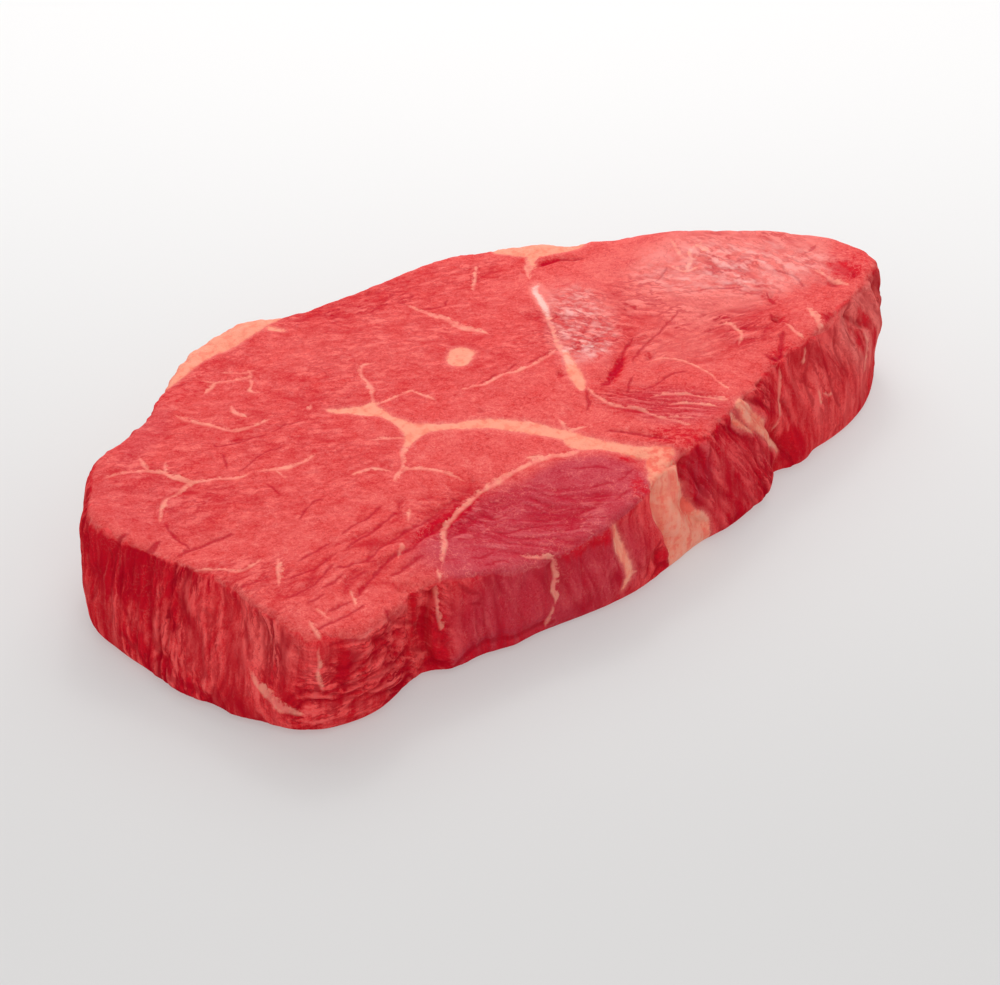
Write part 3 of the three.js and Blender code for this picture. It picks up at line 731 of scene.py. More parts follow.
def read(mesh, what):
    """The vertices' places or normals as rows of three."""
    values = np.empty(len(mesh.vertices) * 3, np.float32)
    if what == "normal":
        mesh.vertex_normals.foreach_get("vector", values)
    else:
        mesh.vertices.foreach_get("co", values)
    return values.reshape(-1, 3).astype(float)


def store(mesh, name, values):
    """Keeps one number, or three, for each vertex as an attribute."""
    kind, field = ("FLOAT", "value") if values.ndim == 1 else ("FLOAT_VECTOR", "vector")
    mesh.attributes.new(name, kind, "POINT").data.foreach_set(field, values.astype(np.float32).ravel())


def side_share(normal):
    """1 on the side, 0 on the two faces and smooth between them."""
    return ease(*SIDE_TILT, np.abs(normal[:, 2]))


# ---------------------------------------------------------------- fat and thin lines
NO_FAT = -9.0  # what counts as the depth in fat well outside it
FAT_REACH = 14.0  # how far from a line of fat that depth is worked out
CAP_DEPTH = 4.0  # the most that a cap of fat counts as deep
CAP_WAVER = 2.5  # how far the ends of a cap wander
CAP_WAVES = (9.0, 6.0)  # the size of that wandering, round the side and up it
CAP_SEED = 61
CAP_WALLS = 0.2  # the share of the side from which a point can be under a cap
NO_LINE = -2.0  # what counts as half the width of a thin line where there is none
LINE_SEARCH = 0.6  # how far from a thin line points are looked for, in spacings of its group
LINE_REACH = 0.48  # how far its row reaches, in spacings
END_REACH = 1.6  # and how far beyond its ends, in millimetres
END_TAPER = 0.6  # what share of its width a thin line loses for each millimetre beyond its ends
END_POINT = 0.4  # and how many millimetres it loses for each one beyond them


def fat_depth(cut, co, normal):
    """How far inside thick fat each point lies, in millimetres, and below 0 outside it."""
    inside = np.full(len(co), NO_FAT)
    for where, *points in rows_of(FAT_LINES):
        line, half = cut.lay(where, points)
        near = Near(co, normal, line, FAT_REACH)
        depth = near.value(half[:, 0]) - near.gap
        inside[near.pick] = np.maximum(inside[near.pick], depth)
    run = cut.run_of(co)
    walls = side_share(normal) > CAP_WALLS
    waver = CAP_WAVER * flat_noise(run / CAP_WAVES[0], co[:, 2] / CAP_WAVES[1], CAP_SEED)
    for start, end in FAT_CAPS:
        edge = np.minimum(run - start, end - run) + waver
        inside = np.maximum(inside, np.where(walls, np.clip(edge, NO_FAT, CAP_DEPTH), NO_FAT))
    return inside


def groups_of(lines, spacing):
    """Shares lines out so that no two of a group come near each other."""
    groups = []
    for line in lines:
        for group in groups:
            gaps = (np.linalg.norm(line[0][:, None] - other[0][None], axis=2) for other in group)
            if not any(gap.min() < spacing for gap in gaps):
                group.append(line)
                break
        else:
            groups.append([line])
    return groups


def line_rows(co, normal, lines, spacing):
    """A row of (offset, half the width, 0) for each point, once for each group of thin lines."""
    lines = sorted(lines, key=lambda line: -len(line[0]))
    rows = []
    for group in groups_of(lines, spacing):
        row = np.zeros((len(co), 3))
        row[:, 1] = NO_LINE
        for line, half in group:
            near = Near(co, normal, line, LINE_SEARCH * spacing)
            keep = (near.gap < LINE_REACH * spacing) & (near.beyond < END_REACH)
            pick = near.pick[keep]
            width = near.value(half[:, 0]) * (1.0 - END_TAPER * near.beyond) - END_POINT * near.beyond
            row[pick, 0] = near.offset[keep]
            row[pick, 1] = width[keep]
        rows.append(row)
    return rows


# ---------------------------------------------------------------- creases, pits, steps and wrinkles
CREASE_REACH = 6.0  # how far a crease is felt, in widths
CREASE_FADE = 3.0  # how long its ends take to fade
CREASE_WIDTH = 1.3  # how far its groove reaches, in widths
CREASE_WANDER = 0.35  # how much its width changes along it
CREASE_WAVE = 4.0  # and over what length
CREASE_SEED = 21
LIP_PLACE = 2.2  # where the lip beside a crease stands, in reaches of its groove
LIP_SHARPNESS = 1.4  # how narrow it is
LIP_HEIGHT = 0.16  # as a share of the crease's depth
PIT_SHADE = 0.4  # painted shade in a pit: how deep the shade of the shallowest pit is, and how much darker each millimetre makes it
WIDE_PIT = (4.0, 2.4)  # the radius from which a pit gets no painted shade, and up to which it gets it fully
STEP_MARGIN = 1.0  # how far past its reach a step is felt
STEP_FADE = 4.0  # how long the ends of a step take to fade
STEP_EDGE = (-0.5, 0.7)  # where the drop of a step starts and ends, across it
STEP_FOOT = 0.5  # where its foot lies
STEP_RISE = 0.15  # share of its reach over which the skin stays down
STEP_SHADE = 0.3  # how much painted shade each millimetre of a step puts at its foot


def pressed(co, normal, creases):
    """How far the creases push each point in."""
    depth = np.zeros(len(co))
    for line, deep, wide in creases:
        near = Near(co, normal, line, CREASE_REACH * wide)
        fade = near.fade(CREASE_FADE)
        none = near.along * 0.0
        wander = noise(np.stack([near.along / CREASE_WAVE, none, none + deep], 1), CREASE_SEED)
        ratio = near.gap / (CREASE_WIDTH * wide * (1.0 + CREASE_WANDER * wander))
        groove = np.exp(-ratio * ratio) * fade
        lip = np.exp(-((ratio - LIP_PLACE) ** 2) * LIP_SHARPNESS) * fade
        depth[near.pick] += deep * (groove - LIP_HEIGHT * lip)
    return depth


def pitted(cut, co):
    """How far the pits push each point in, and how much shade is painted in them."""
    depth = np.zeros(len(co))
    dark = np.zeros(len(co))
    for where, x, y, deep, wide in rows_of(PITS):
        spot = np.array(cut.on_face(x, y) if where == FACE else cut.on_side(x, y))
        away = np.linalg.norm(co - spot, axis=1) / wide
        hole = np.exp(-away * away)
        depth += deep * hole
        dark = np.maximum(dark, hole * min(1.0, PIT_SHADE + PIT_SHADE * deep) * ease(*WIDE_PIT, wide))
    return depth, dark


def stepped(cut, co, normal):
    """How far the steps between muscles push each point in, and how much shade is painted at their feet."""
    depth = np.zeros(len(co))
    dark = np.zeros(len(co))
    for where, deep, reach, *points in rows_of(STEPS):
        line, _ = cut.lay(where, points)
        near = Near(co, normal, line, reach + STEP_MARGIN)
        fade = near.fade(STEP_FADE)
        drop = ease(*STEP_EDGE, near.offset) * ease(reach, STEP_RISE * reach, near.offset) * fade
        depth[near.pick] += deep * drop
        foot = np.exp(-((near.offset - STEP_FOOT) ** 2)) * fade
        dark[near.pick] = np.maximum(dark[near.pick], foot * min(1.0, STEP_SHADE * deep))
    return depth, dark


FACE_TILT = (0.55, 0.85)  # how upright a normal is where the face's fields start and where they are full
FIELD_EDGE = (1.15, 0.6)  # where a field on the face ends and where it is full, in reaches
SIDE_FIELD_EDGE = (1.2, 0.75)  # and one on the side
WRINKLE_BEND = (0.8, 3.0)  # the size of a wrinkle's bends, in lengths along it and spacings across it
ROUGH_BEND = 1.1  # how far the wrinkles bend, in spacings
FINE_BEND = -0.8  # and the finer ones
FINE_SIZE = (0.6, 0.55)  # of the finer wrinkles, in lengths and spacings
FINE_HEIGHT = 0.2  # of the finer wrinkles, as a share of the others'
PAD_EDGE = (0.0, 0.42)  # where a pad between two wrinkles starts and where it is full
PAD_LEVEL = 0.7  # how much of a pad lies below the skin
PAD_HEIGHT = 1.6  # in depths of the field
FOLD_EDGE = (0.36, 0.04)  # where the painted shade in a wrinkle starts and where it is darkest
PATCHES = (16.0, 12.0)  # the size of the patches in which a field is stronger or weaker
FIELD_SEEDS = (30, 60, 90, 120)  # of a field's bends, wrinkles, finer wrinkles and patches
FIELD_SHIFT = 7.3  # keeps the finest lines of two fields apart
NO_FIELD = 0.001  # the strength below which a point isn't in a field
FREE_FIELD = 0.02  # and the one below which another field may have its row
FIELD_STRENGTH = (0.75, 0.5)  # its mean, and how much the patches change it
FOLD_DARKNESS = (0.25, 1.5)  # the painted shade in the folds of a field without depth, and how much each millimetre adds


def wrinkled(cut, co, normal):
    """The relief of the fields of small wrinkles, the shade painted into their folds, and rows of (along,
    across, strength) for the finer lines, each with room for fields that don't overlap."""
    relief = np.zeros(len(co))
    fold = np.zeros(len(co))
    layers = []
    run = cut.run_of(co)
    face = ease(*FACE_TILT, normal[:, 2])
    side = side_share(normal)
    for index, (where, middle, reach, angle, length, spacing, deep, finest) in enumerate(rows_of(WRINKLES)):
        round_it, along, across = cut.seen_from(where, middle, angle, co, run)
        if where == FACE:
            mask = ease(*FIELD_EDGE, np.hypot(along / reach[0], across / reach[1])) * face
        else:
            mask = ease(*SIDE_FIELD_EDGE, np.abs(round_it) / reach[0]) * side
        pick = np.flatnonzero(mask > NO_FIELD)
        if not len(pick):
            continue
        s, t = along[pick], across[pick]
        bend_seed, rough_seed, fine_seed, patch_seed = (seed + index for seed in FIELD_SEEDS)
        bend = flat_noise(s / (length * WRINKLE_BEND[0]), t / (spacing * WRINKLE_BEND[1]), bend_seed)
        rough = flat_noise((t + ROUGH_BEND * spacing * bend) / spacing, s / length, rough_seed)
        fine_across = (t + FINE_BEND * spacing * bend) / (spacing * FINE_SIZE[1])
        fine = flat_noise(fine_across, s / (length * FINE_SIZE[0]), fine_seed)
        shape = np.abs(rough) + FINE_HEIGHT * np.abs(fine)
        pads = ease(*PAD_EDGE, shape) - PAD_LEVEL
        patches = flat_noise(s / PATCHES[0], t / PATCHES[1], patch_seed)
        strength = mask[pick] * (FIELD_STRENGTH[0] + FIELD_STRENGTH[1] * patches)
        relief[pick] += deep * pads * PAD_HEIGHT * strength
        darkness = min(1.0, FOLD_DARKNESS[0] + FOLD_DARKNESS[1] * deep)
        fold[pick] += ease(*FOLD_EDGE, shape) * strength * darkness
        layer = next((row for row in layers if row[pick, 2].max() < FREE_FIELD), None)
        if layer is None:
            layer = np.zeros((len(co), 3))
            layers.append(layer)
        layer[pick] = np.stack([s / length + FIELD_SHIFT * index, t / spacing, strength * finest], axis=1)
    return relief, fold, layers


SPOT_EDGE = (1.25, 0.55)  # where a spot ends and where it is full, in reaches
SPOT_TILT = (0.4, 0.8)  # how upright a normal is where the face's spots start and where they are full


def spotted(table, cut, co, normal):
    """The sum of soft spots from a table, from their middles outwards."""
    total = np.zeros(len(co))
    run = cut.run_of(co)
    face = ease(*SPOT_TILT, normal[:, 2])
    for where, middle, reach, turn, amount in rows_of(table):
        _, along, across = cut.seen_from(where, middle, turn, co, run)
        part = face if where == FACE else 1.0 - face
        total += amount * part * ease(*SPOT_EDGE, np.hypot(along / reach[0], across / reach[1]))
    return total


# ---------------------------------------------------------------- the relief of the skin
# Lumps: their height, their size and the seed of their noise.
WARPS = tuple(((0.45, 7.0, seed), (0.225, 3.5, seed + 1)) for seed in (1, 4, 7))  # that bend the lines about
LEAN_LUMPS = ((0.55, 19.0, 11), (0.28, 8.0, 12), (0.12, 3.4, 13))
FAT_LUMPS = ((0.35, 3.2, 14), (0.2, 1.6, 15))
RIM_LUMPS = ((0.7, 6.0, 16), (0.3, 2.8, 17))
SIDE_CREASES = 1.5  # how much deeper and wider than given the creases on the side are
CLEFT_WIDTH = 0.6  # half the width of the line of painted shade in a crease, in the crease's widths
VEIN_SPACING = 5.0  # the least gap between two veins of a group, and then between two creases
CLEFT_SPACING = 3.4
FROM_FACE = (0.80, 0.35)  # how upright a normal is where the rounding of the rim starts and where it ends
RIM_BAND = (0.3, 0.7)  # the shares of the side between which a point is on the rim
RIM_ABOVE = 15.0  # the height above which the upper face's rim lies
RIM_SMOOTHING = 6  # how many of the rim's points on either side are averaged
RIM_HEIGHTS = (8.0, 16.0)  # where the rim's own lumps start and where they are full
TEETH = ((1.2, 6.0, 40.0, 18), (0.6, 2.0, 12.0, 19))  # of the side's colour: depth, width, length, seed
ROLL_EDGE = (1.5, 0.4)  # where a roll ends and where it is full, in reaches
WALL_EDGE = (-0.9, 0.9)  # where the side's colour starts and where it is full, below the rim
WALL_RAISE = 0.4  # how much further up that is
SCALLOP = 2.0  # how deep the hollows below the rim are
SCALLOP_SIZE = (6.5, 30.0)  # of one, round the side and up it
SCALLOP_EDGE = (-0.1, 0.7)  # where one starts and where it is full, over the noise
SCALLOP_FOOT = (16.0, 3.0)  # how far below the rim they end, and down to where they are full
SCALLOP_TOP = (-3.0, 4.0)  # how far below the rim they start, and from where they are full
SCALLOP_SEED = 20
BACK_SCALLOP = 0.3  # how much of them the back has
BACK_END = (225.0, 240.0)  # where the back goes over into the broad end, round the side
IN_LEAN = (0.6, -0.8)  # depths in fat between which it goes over into lean
IN_FAT = (-0.6, 0.8)  # and between which lean goes over into fat
FAT_WRINKLES = 0.35  # how much of the wrinkles fat has
WRINKLE_FOOT = (0.5, 6.5)  # heights between which the wrinkles die away towards the base
FAT_SINK = 0.25  # how far fat lies below the lean, and how deep the groove round it is
GROOVE_PLACE = -0.2  # the depth in fat where that groove lies
GROOVE_EDGE = (1.0, 0.0)  # how far from there it ends, and where it is full
STAY_DOWN = (0.0, 3.0)  # heights between which the relief dies away downwards
STAY_UNDER = (-0.9, -0.4)  # and how upright a normal is there


def past_rim(run, co, side):
    """How far each point lies from the rim of the upper face: over 0 on the side, under 0 on the face."""
    ring = np.flatnonzero((side > RIM_BAND[0]) & (side < RIM_BAND[1]) & (co[:, 2] > RIM_ABOVE))
    ring = ring[np.argsort(run[ring])]
    away = np.hypot(co[:, 0] - SIDE_HUB[0], co[:, 1] - SIDE_HUB[1])
    window = 2 * RIM_SMOOTHING + 1
    rows = [np.pad(row[ring], RIM_SMOOTHING, "wrap") for row in (co[:, 2], away)]
    height, width = (np.convolve(row, np.full(window, 1 / window), "valid") for row in rows)
    fall = np.interp(run, run[ring], height) - co[:, 2]
    inward = np.interp(run, run[ring], width) - away
    return side * fall - (1.0 - side) * inward


def wall_share(run, fall):
    """1 where the side's colours show, 0 where the upper face's do, with a ragged border between them."""
    teeth = sum(deep * flat_noise(run / wide, fall / long, seed) for deep, wide, long, seed in TEETH)
    for middle, reach, drop in ROLLS:
        teeth -= drop * ease(*ROLL_EDGE, np.abs(run - middle) / reach)
    return ease(*WALL_EDGE, fall + WALL_RAISE + teeth)


def hollows(co, run, fall):
    """The hollows that scallop the side below the rim."""
    waves = flat_noise(run / SCALLOP_SIZE[0], co[:, 2] / SCALLOP_SIZE[1], SCALLOP_SEED)
    hollow = ease(*SCALLOP_EDGE, waves) * ease(*SCALLOP_FOOT, fall) * ease(*SCALLOP_TOP, fall)
    return SCALLOP * hollow * (BACK_SCALLOP + (1.0 - BACK_SCALLOP) * ease(*BACK_END, run))


def carve(steak, settings):
    """Moves the skin into relief and keeps what the material reads."""
    mesh = steak.data
    cut = Slice(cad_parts[NODE])
    co = read(mesh, "co") / MM
    normal = read(mesh, "normal")
    warp = np.stack([lumps(co, rows) for rows in WARPS], axis=1)
    bent = co + warp - normal * np.einsum("ij,ij->i", warp, normal)[:, None]
    fat = fat_depth(cut, bent, normal)
    veins = [cut.lay(where, points) for where, *points in rows_of(VEINS)]
    creases = []
    for where, deep, wide, *points in rows_of(CREASES):
        more = SIDE_CREASES if where == SIDE else 1.0
        creases.append((cut.lay(where, points)[0], more * deep, more * wide))
    clefts = [(line, np.full((len(line), 1), CLEFT_WIDTH * wide)) for line, _, wide in creases]
    pit, pit_dark = pitted(cut, bent)
    step, step_dark = stepped(cut, bent, normal)
    wrinkle, fold, waves = wrinkled(cut, co, normal)
    run = cut.run_of(co)
    side = ease(*FROM_FACE, normal[:, 2])
    fall = past_rim(run, co, side)
    wall = wall_share(run, fall)
    rim = 4.0 * side * (1.0 - side) * ease(*RIM_HEIGHTS, co[:, 2])
    lean = FAT_WRINKLES + (1.0 - FAT_WRINKLES) * ease(*IN_LEAN, fat)
    wrinkle = settings.wrinkle_depth * wrinkle * lean * ease(*WRINKLE_FOOT, co[:, 2])
    relief = lumps(co, LEAN_LUMPS) + rim * lumps(co, RIM_LUMPS) - hollows(co, run, fall)
    relief += wrinkle - pit - step
    relief -= settings.crease_depth * pressed(bent, normal, creases)
    relief += ease(*IN_FAT, fat) * (lumps(co, FAT_LUMPS) - FAT_SINK)
    relief -= FAT_SINK * ease(*GROOVE_EDGE, np.abs(fat - GROOVE_PLACE))
    stay = ease(*STAY_DOWN, co[:, 2]) * ease(*STAY_UNDER, normal[:, 2])
    co = co + normal * (relief * stay)[:, None]
    co[:, 2] = np.maximum(co[:, 2], 0.0)
    mesh.vertices.foreach_set("co", (co * MM).astype(np.float32).ravel())
    mesh.update()
    layers = {
        "vein": line_rows(bent, normal, veins, VEIN_SPACING),
        "cleft": line_rows(bent, normal, clefts, CLEFT_SPACING),
        "wave": waves,
    }
    for name, rows in layers.items():
        for index, row in enumerate(rows):
            store(mesh, f"{name}_{index}", row)
    # the shade painted in the pits and at the feet of the steps
    dark = np.clip(np.maximum(pit_dark, step_dark), 0.0, 1.0)
    looks = [spotted(table, cut, bent, normal) for table in (TONES, BLOODS, GLISTENS)]
    store(mesh, "fat", fat)
    store(mesh, "form", np.stack([wall, dark, np.clip(fold, 0.0, 1.0)], axis=1))
    store(mesh, "look", np.stack(looks, axis=1))
    mesh.shade_smooth()
    return {name: len(rows) for name, rows in layers.items()}


# ---------------------------------------------------------------- helpers for materials
class Nodes:
    """Adds shader nodes to a tree, with values or links for their inputs."""

    def __init__(self, tree):
        self.tree = tree

    def add(self, kind, inputs=None, **settings):
        node = self.tree.nodes.new(kind)
        for name, value in settings.items():
            setattr(node, name, value)
        for name, value in (inputs or {}).items():
            socket = node.inputs[name]
            if isinstance(value, bpy.types.NodeSocket):
                self.tree.links.new(value, socket)
            else:
                socket.default_value = value
        return node

    def math(self, operation, *values):
        return self.add("ShaderNodeMath", dict(enumerate(values)), operation=operation).outputs[0]

    def times(self, *values):
        """The product of values."""
        return self.join("MULTIPLY", *values)

    def join(self, operation, *values):
        """One value made of several by the same operation."""
        joined = values[0]
        for value in values[1:]:
            joined = self.math(operation, joined, value)
        return joined

    def swing(self, pattern, width):
        """Turns a pattern from 0 to 1 into one that swings about 0 over that width."""
        return self.times(self.math("SUBTRACT", pattern, 0.5), width)

    def step(self, value, start, end, low=0.0, high=1.0):
        inputs = {"Value": value, "From Min": start, "From Max": end, "To Min": low, "To Max": high}
        return self.add("ShaderNodeMapRange", inputs, interpolation_type="SMOOTHSTEP").outputs["Result"]

    def contour(self, pattern, level, width, strength):
        """Thin lines where a pattern crosses a level."""
        gap = self.math("ABSOLUTE", self.math("SUBTRACT", pattern, level))
        return self.step(gap, *width, strength, 0.0)

    def noise(self, place, scale, detail, rough):
        inputs = {"Vector": place, "Scale": scale, "Detail": detail, "Roughness": rough}
        return self.add("ShaderNodeTexNoise", inputs, noise_type="FBM").outputs["Fac"]

    def stretched(self, place, stretch, pattern):
        """Noise that is longer the smaller its stretch is along an axis."""
        spot = self.add("ShaderNodeVectorMath", {0: place, 1: stretch}, operation="MULTIPLY").outputs[0]
        return self.noise(spot, *pattern)

    def mix(self, share, low, high):
        """A colour that goes from low to high."""
        return self.add("ShaderNodeMix", {0: share, 6: low, 7: high}, data_type="RGBA").outputs[2]

    def blend(self, share, low, high):
        """A number that goes from low to high."""
        return self.add("ShaderNodeMix", {0: share, 2: low, 3: high}).outputs[0]

    def attribute(self, name, output="Fac"):
        return self.add("ShaderNodeAttribute", attribute_name=name).outputs[output]

    def split(self, vector):
        """The three numbers of a vector."""
        return self.add("ShaderNodeSeparateXYZ", {"Vector": vector}).outputs

    def close(self, group, results):
        """Sends the results out of a group."""
        out = group.nodes.new("NodeGroupOutput")
        for name, result in results.items():
            group.links.new(result, out.inputs[name])
        return group


def new_group(name, inputs, outputs):
    """A shader node group with named inputs and outputs: its tree, its helper and its input sockets."""
    tree = bpy.data.node_groups.new(name, "ShaderNodeTree")
    for label, kind in inputs.items():
        tree.interface.new_socket(label, in_out="INPUT", socket_type=f"NodeSocket{kind}")
    for label in outputs:
        tree.interface.new_socket(label, in_out="OUTPUT", socket_type="NodeSocketFloat")
    return tree, Nodes(tree), tree.nodes.new("NodeGroupInput").outputs


# ---------------------------------------------------------------- the meat's material
# Patterns: how many lumps to the millimetre, how many finer layers they have and how rough these are.
MOTTLE = (0.16, 3.0, 0.6)
CLOUD = (0.4, 3.0, 0.6)
SWIRL = (0.55, 3.0, 0.6)
FINE = (2.2, 2.0, 0.6)
SWELL = (1.9, 2.0, 0.55)  # to a wrinkle
LYING = (1.0, 4.0, 0.62)
STANDING = (1.0, 4.0, 0.6)
LYING_STRETCH = (0.7, 1.0, 1.0)
STANDING_STRETCH = (0.45, 0.45, 0.04)

# Masks are smooth steps over a pattern or an attribute: where each starts, where it is full and, if they
# aren't 0 and 1, its values there.
VEIN_EDGE = (-0.45, 0.4)  # over the depth in a thin line, as the next one is
CLEFT_EDGE = (-0.65, 0.35)
THREAD_AND_RIDGE_LIGHT_EDGE = (0.58, 0.68)  # over the swell: pale threads, which also stand for painted light on the wrinkles' ridges
LINES = (0.34, 0.54, 0.15, 1.0)  # over the mottle, as the next three are
CRACKS = (0.54, 0.44)
WEBBED = (0.42, 0.6)
FAINT_VEINS = (0.34, 0.6, 0.42, 0.74)
UPRIGHT = (0.3, 0.7)  # over the share of the side
LEAN_SHADES = (-1.3, 1.2)  # over the sum of all that makes lean lighter or darker
TINTED_FIBRES = (-1.0, 0.0, 0.35, 1.0)  # over the tone, as the next three are
PURPLE = (0.0, -1.0, 0.0, 0.9)
PALE = (0.0, 1.3, 0.0, 0.7)
PALEST_FAT = (0.1, 1.3, 0.0, 0.9)
SOAKED = (0.15, 0.9, 0.0, 0.92)  # over the blood, as the next one is
STAINED_FAT = (0.1, 0.9, 0.0, 0.9)
SPECKS = (0.62, 0.76, 0.0, 0.35)  # over the fine pattern
VEIN_TINTS = (0.35, 0.65)  # over the swirl
FAT_EDGE = (-0.6, 0.5)  # over the depth in fat, as the next one is
FAT_HALO = (-1.8, 0.0, 0.0, 0.35)
PALE_STRANDS = (0.47, 0.60, 0.0, 0.75)  # over the standing fibres, as the next one is
RED_STRANDS = (0.47, 0.37, 0.0, 0.5)
MEMBRANE_EDGE = (0.5, 0.38, 0.0)  # over the cloud, as the next one is
GLEAM_PATCHES = (0.32, 0.62)
GLEAM_STREAKS = (-0.9, 1.0)  # over the streaks

# Lines where a pattern crosses a level: that level, where they start to fade and end on either side of it,
# and how strong they are.
# the lines in the wrinkles' valleys, which get painted shade
WRINKLE_LINE = (0.46, (0.012, 0.085), 1.0)
WEB_LINE = (0.5, (0.0, 0.03), 0.45)
# the cracks, which get painted shade
CRACK_LINE = (0.46, (0.0, 0.03), 0.5)

# Pairs of a value on the cut face and one on the side.
FIBRE_CONTRAST = (2.6, 5.6)
STREAK_CONTRAST = (0.6, 0.8)
PURPLE_SHADES = (1.0, 0.35)
SPECK_STRENGTH = (1.0, 0.4)
PAINTED_FOLD_SHADE = (0.75, 0.95)
PAINTED_CLEFT_SHADE = (0.8, 0.65)
VEIN_STRENGTH = (1.0, 0.85)
MEMBRANE_STRENGTH = (0.35, 0.55)

# How widely a pattern swings about 0.
WOBBLE = (1.4, 0.2)  # of thin lines, in millimetres: the swirl's and the fine pattern's
FRAY = (1.4, 0.4)  # and the same of the edge of fat
BEND = 0.5  # of the lines of a field of wrinkles, in their spacing
SIDE_SWING = 0.8
FINE_CONTRAST = 2.0
STREAK_SWING = 6.0
SOAK_SWING = -1.6
STAIN_SWING = 2.4

# Pairs of a value where a pattern is 0 and one where it is 1.
KNOBS = (-0.3, 1.9)  # how much of its width a thin line has there
MOTTLE_SHADES = (-0.65, 0.85)
ROUGHNESS = (0.34, 0.59)

# How much each thing counts.
# shade painted into the wrinkles' folds, in the lean's colour
FOLD_SHADE = -0.9
LIT_RIDGE_STREAKS = -0.5  # keeps blood off the streaks on the side, so that the wrinkles' ridges stay light: painted light
THREAD_AND_RIDGE_LIGHT_STRENGTH = 0.42
PAINTED_LINE_SHADE = 0.85
PAINTED_PIT_SHADE = 0.85
DEEPEST_PAINTED_SHADE = 0.9
CLEFT_IN_FAT = 0.5
PAINTED_GLEAM = 0.5
GLEAM_COAT = 0.3
GRAIN_RELIEF = 1.6
FINE_RELIEF = 0.7
STREAK_RELIEF = (0.4, 0.3)  # what wetness adds, and what meat that isn't wet has
LINE_RELIEF = -0.3


def line_group():
    """Turns the row of a thin line into masks: a wandering, knobbly one and one that stays thin."""
    inputs = {"Row": "Vector", "Wobble": "Float", "Knobs": "Float"}
    tree, n, given = new_group("thin_line", inputs, ("Vein", "Cleft"))
    offset, half, _ = n.split(given["Row"])
    gap = n.math("ABSOLUTE", n.math("ADD", offset, given["Wobble"]))
    depth = n.math("SUBTRACT", n.times(half, given["Knobs"]), gap)
    return n.close(tree, {"Vein": n.step(depth, *VEIN_EDGE), "Cleft": n.step(depth, *CLEFT_EDGE)})


def wave_group():
    """Turns the row of a field of wrinkles into lines of painted shade in its valleys, streaks along the
    fibres that are lighter on its ridges and darker in its valleys, fibre tone and painted light and shade
    in one, and pale threads that also stand for painted light on its ridges.
    """
    inputs = {"Row": "Vector", "Bend": "Float"}
    tree, n, given = new_group("wave", inputs, ("Line", "Streak", "Thread"))
    along, across, strength = n.split(given["Row"])
    spot = n.add("ShaderNodeCombineXYZ", {"X": along, "Y": n.math("ADD", across, given["Bend"])})
    swell = n.noise(spot.outputs[0], *SWELL)
    line = n.times(n.contour(swell, *WRINKLE_LINE), strength)
    streak = n.times(n.swing(swell, STREAK_SWING), strength)
    thread = n.times(n.step(swell, *THREAD_AND_RIDGE_LIGHT_EDGE), strength)
    return n.close(tree, {"Line": line, "Streak": streak, "Thread": thread})


def read_rows(n, group, name, count, join, shared):
    """Sends the rows with that name through a group and joins each of its outputs into one value."""
    found = []
    for index in range(count):
        inputs = {"Row": n.attribute(f"{name}_{index}", "Vector"), **shared}
        found.append(list(n.add("ShaderNodeGroup", inputs, node_tree=group).outputs))
    return [n.join(join, *outputs) for outputs in zip(*found)]


def read_skin(n, counts):
    """The patterns and the masks that several parts of the meat share."""
    skin = SimpleNamespace()
    place = n.add("ShaderNodeTexCoord").outputs["Object"]
    place = n.add("ShaderNodeVectorMath", {0: place, "Scale": 1 / MM}, operation="SCALE").outputs[0]
    skin.side, skin.dark, skin.fold = n.split(n.attribute("form", "Vector"))
    skin.tone, skin.blood, skin.wet = n.split(n.attribute("look", "Vector"))
    patterns = (n.noise(place, *row) for row in (MOTTLE, CLOUD, SWIRL, FINE))
    skin.mottle, skin.cloud, skin.swirl, skin.fine = patterns
    wobble = n.math("ADD", n.swing(skin.swirl, WOBBLE[0]), n.swing(skin.fine, WOBBLE[1]))
    shared = {"Wobble": wobble, "Knobs": n.blend(skin.swirl, *KNOBS)}
    lines = line_group()
    skin.vein = read_rows(n, lines, "vein", counts["vein"], "MAXIMUM", shared)[0]
    skin.cleft = read_rows(n, lines, "cleft", counts["cleft"], "MAXIMUM", shared)[1]
    bend = {"Bend": n.swing(skin.swirl, BEND)}
    line, skin.streak, skin.thread = read_rows(n, wave_group(), "wave", counts["wave"], "ADD", bend)
    skin.line = n.times(line, n.step(skin.mottle, *LINES))
    skin.upright = n.step(n.math("ADD", skin.side, n.swing(skin.swirl, SIDE_SWING)), *UPRIGHT)
    turned = n.add("ShaderNodeMapping", {"Vector": place, "Rotation": (0.0, 0.0, GRAIN_TURN)}).outputs[0]
    skin.standing = n.stretched(place, STANDING_STRETCH, STANDING)
    skin.grain = n.blend(skin.upright, n.stretched(turned, LYING_STRETCH, LYING), skin.standing)
    return skin


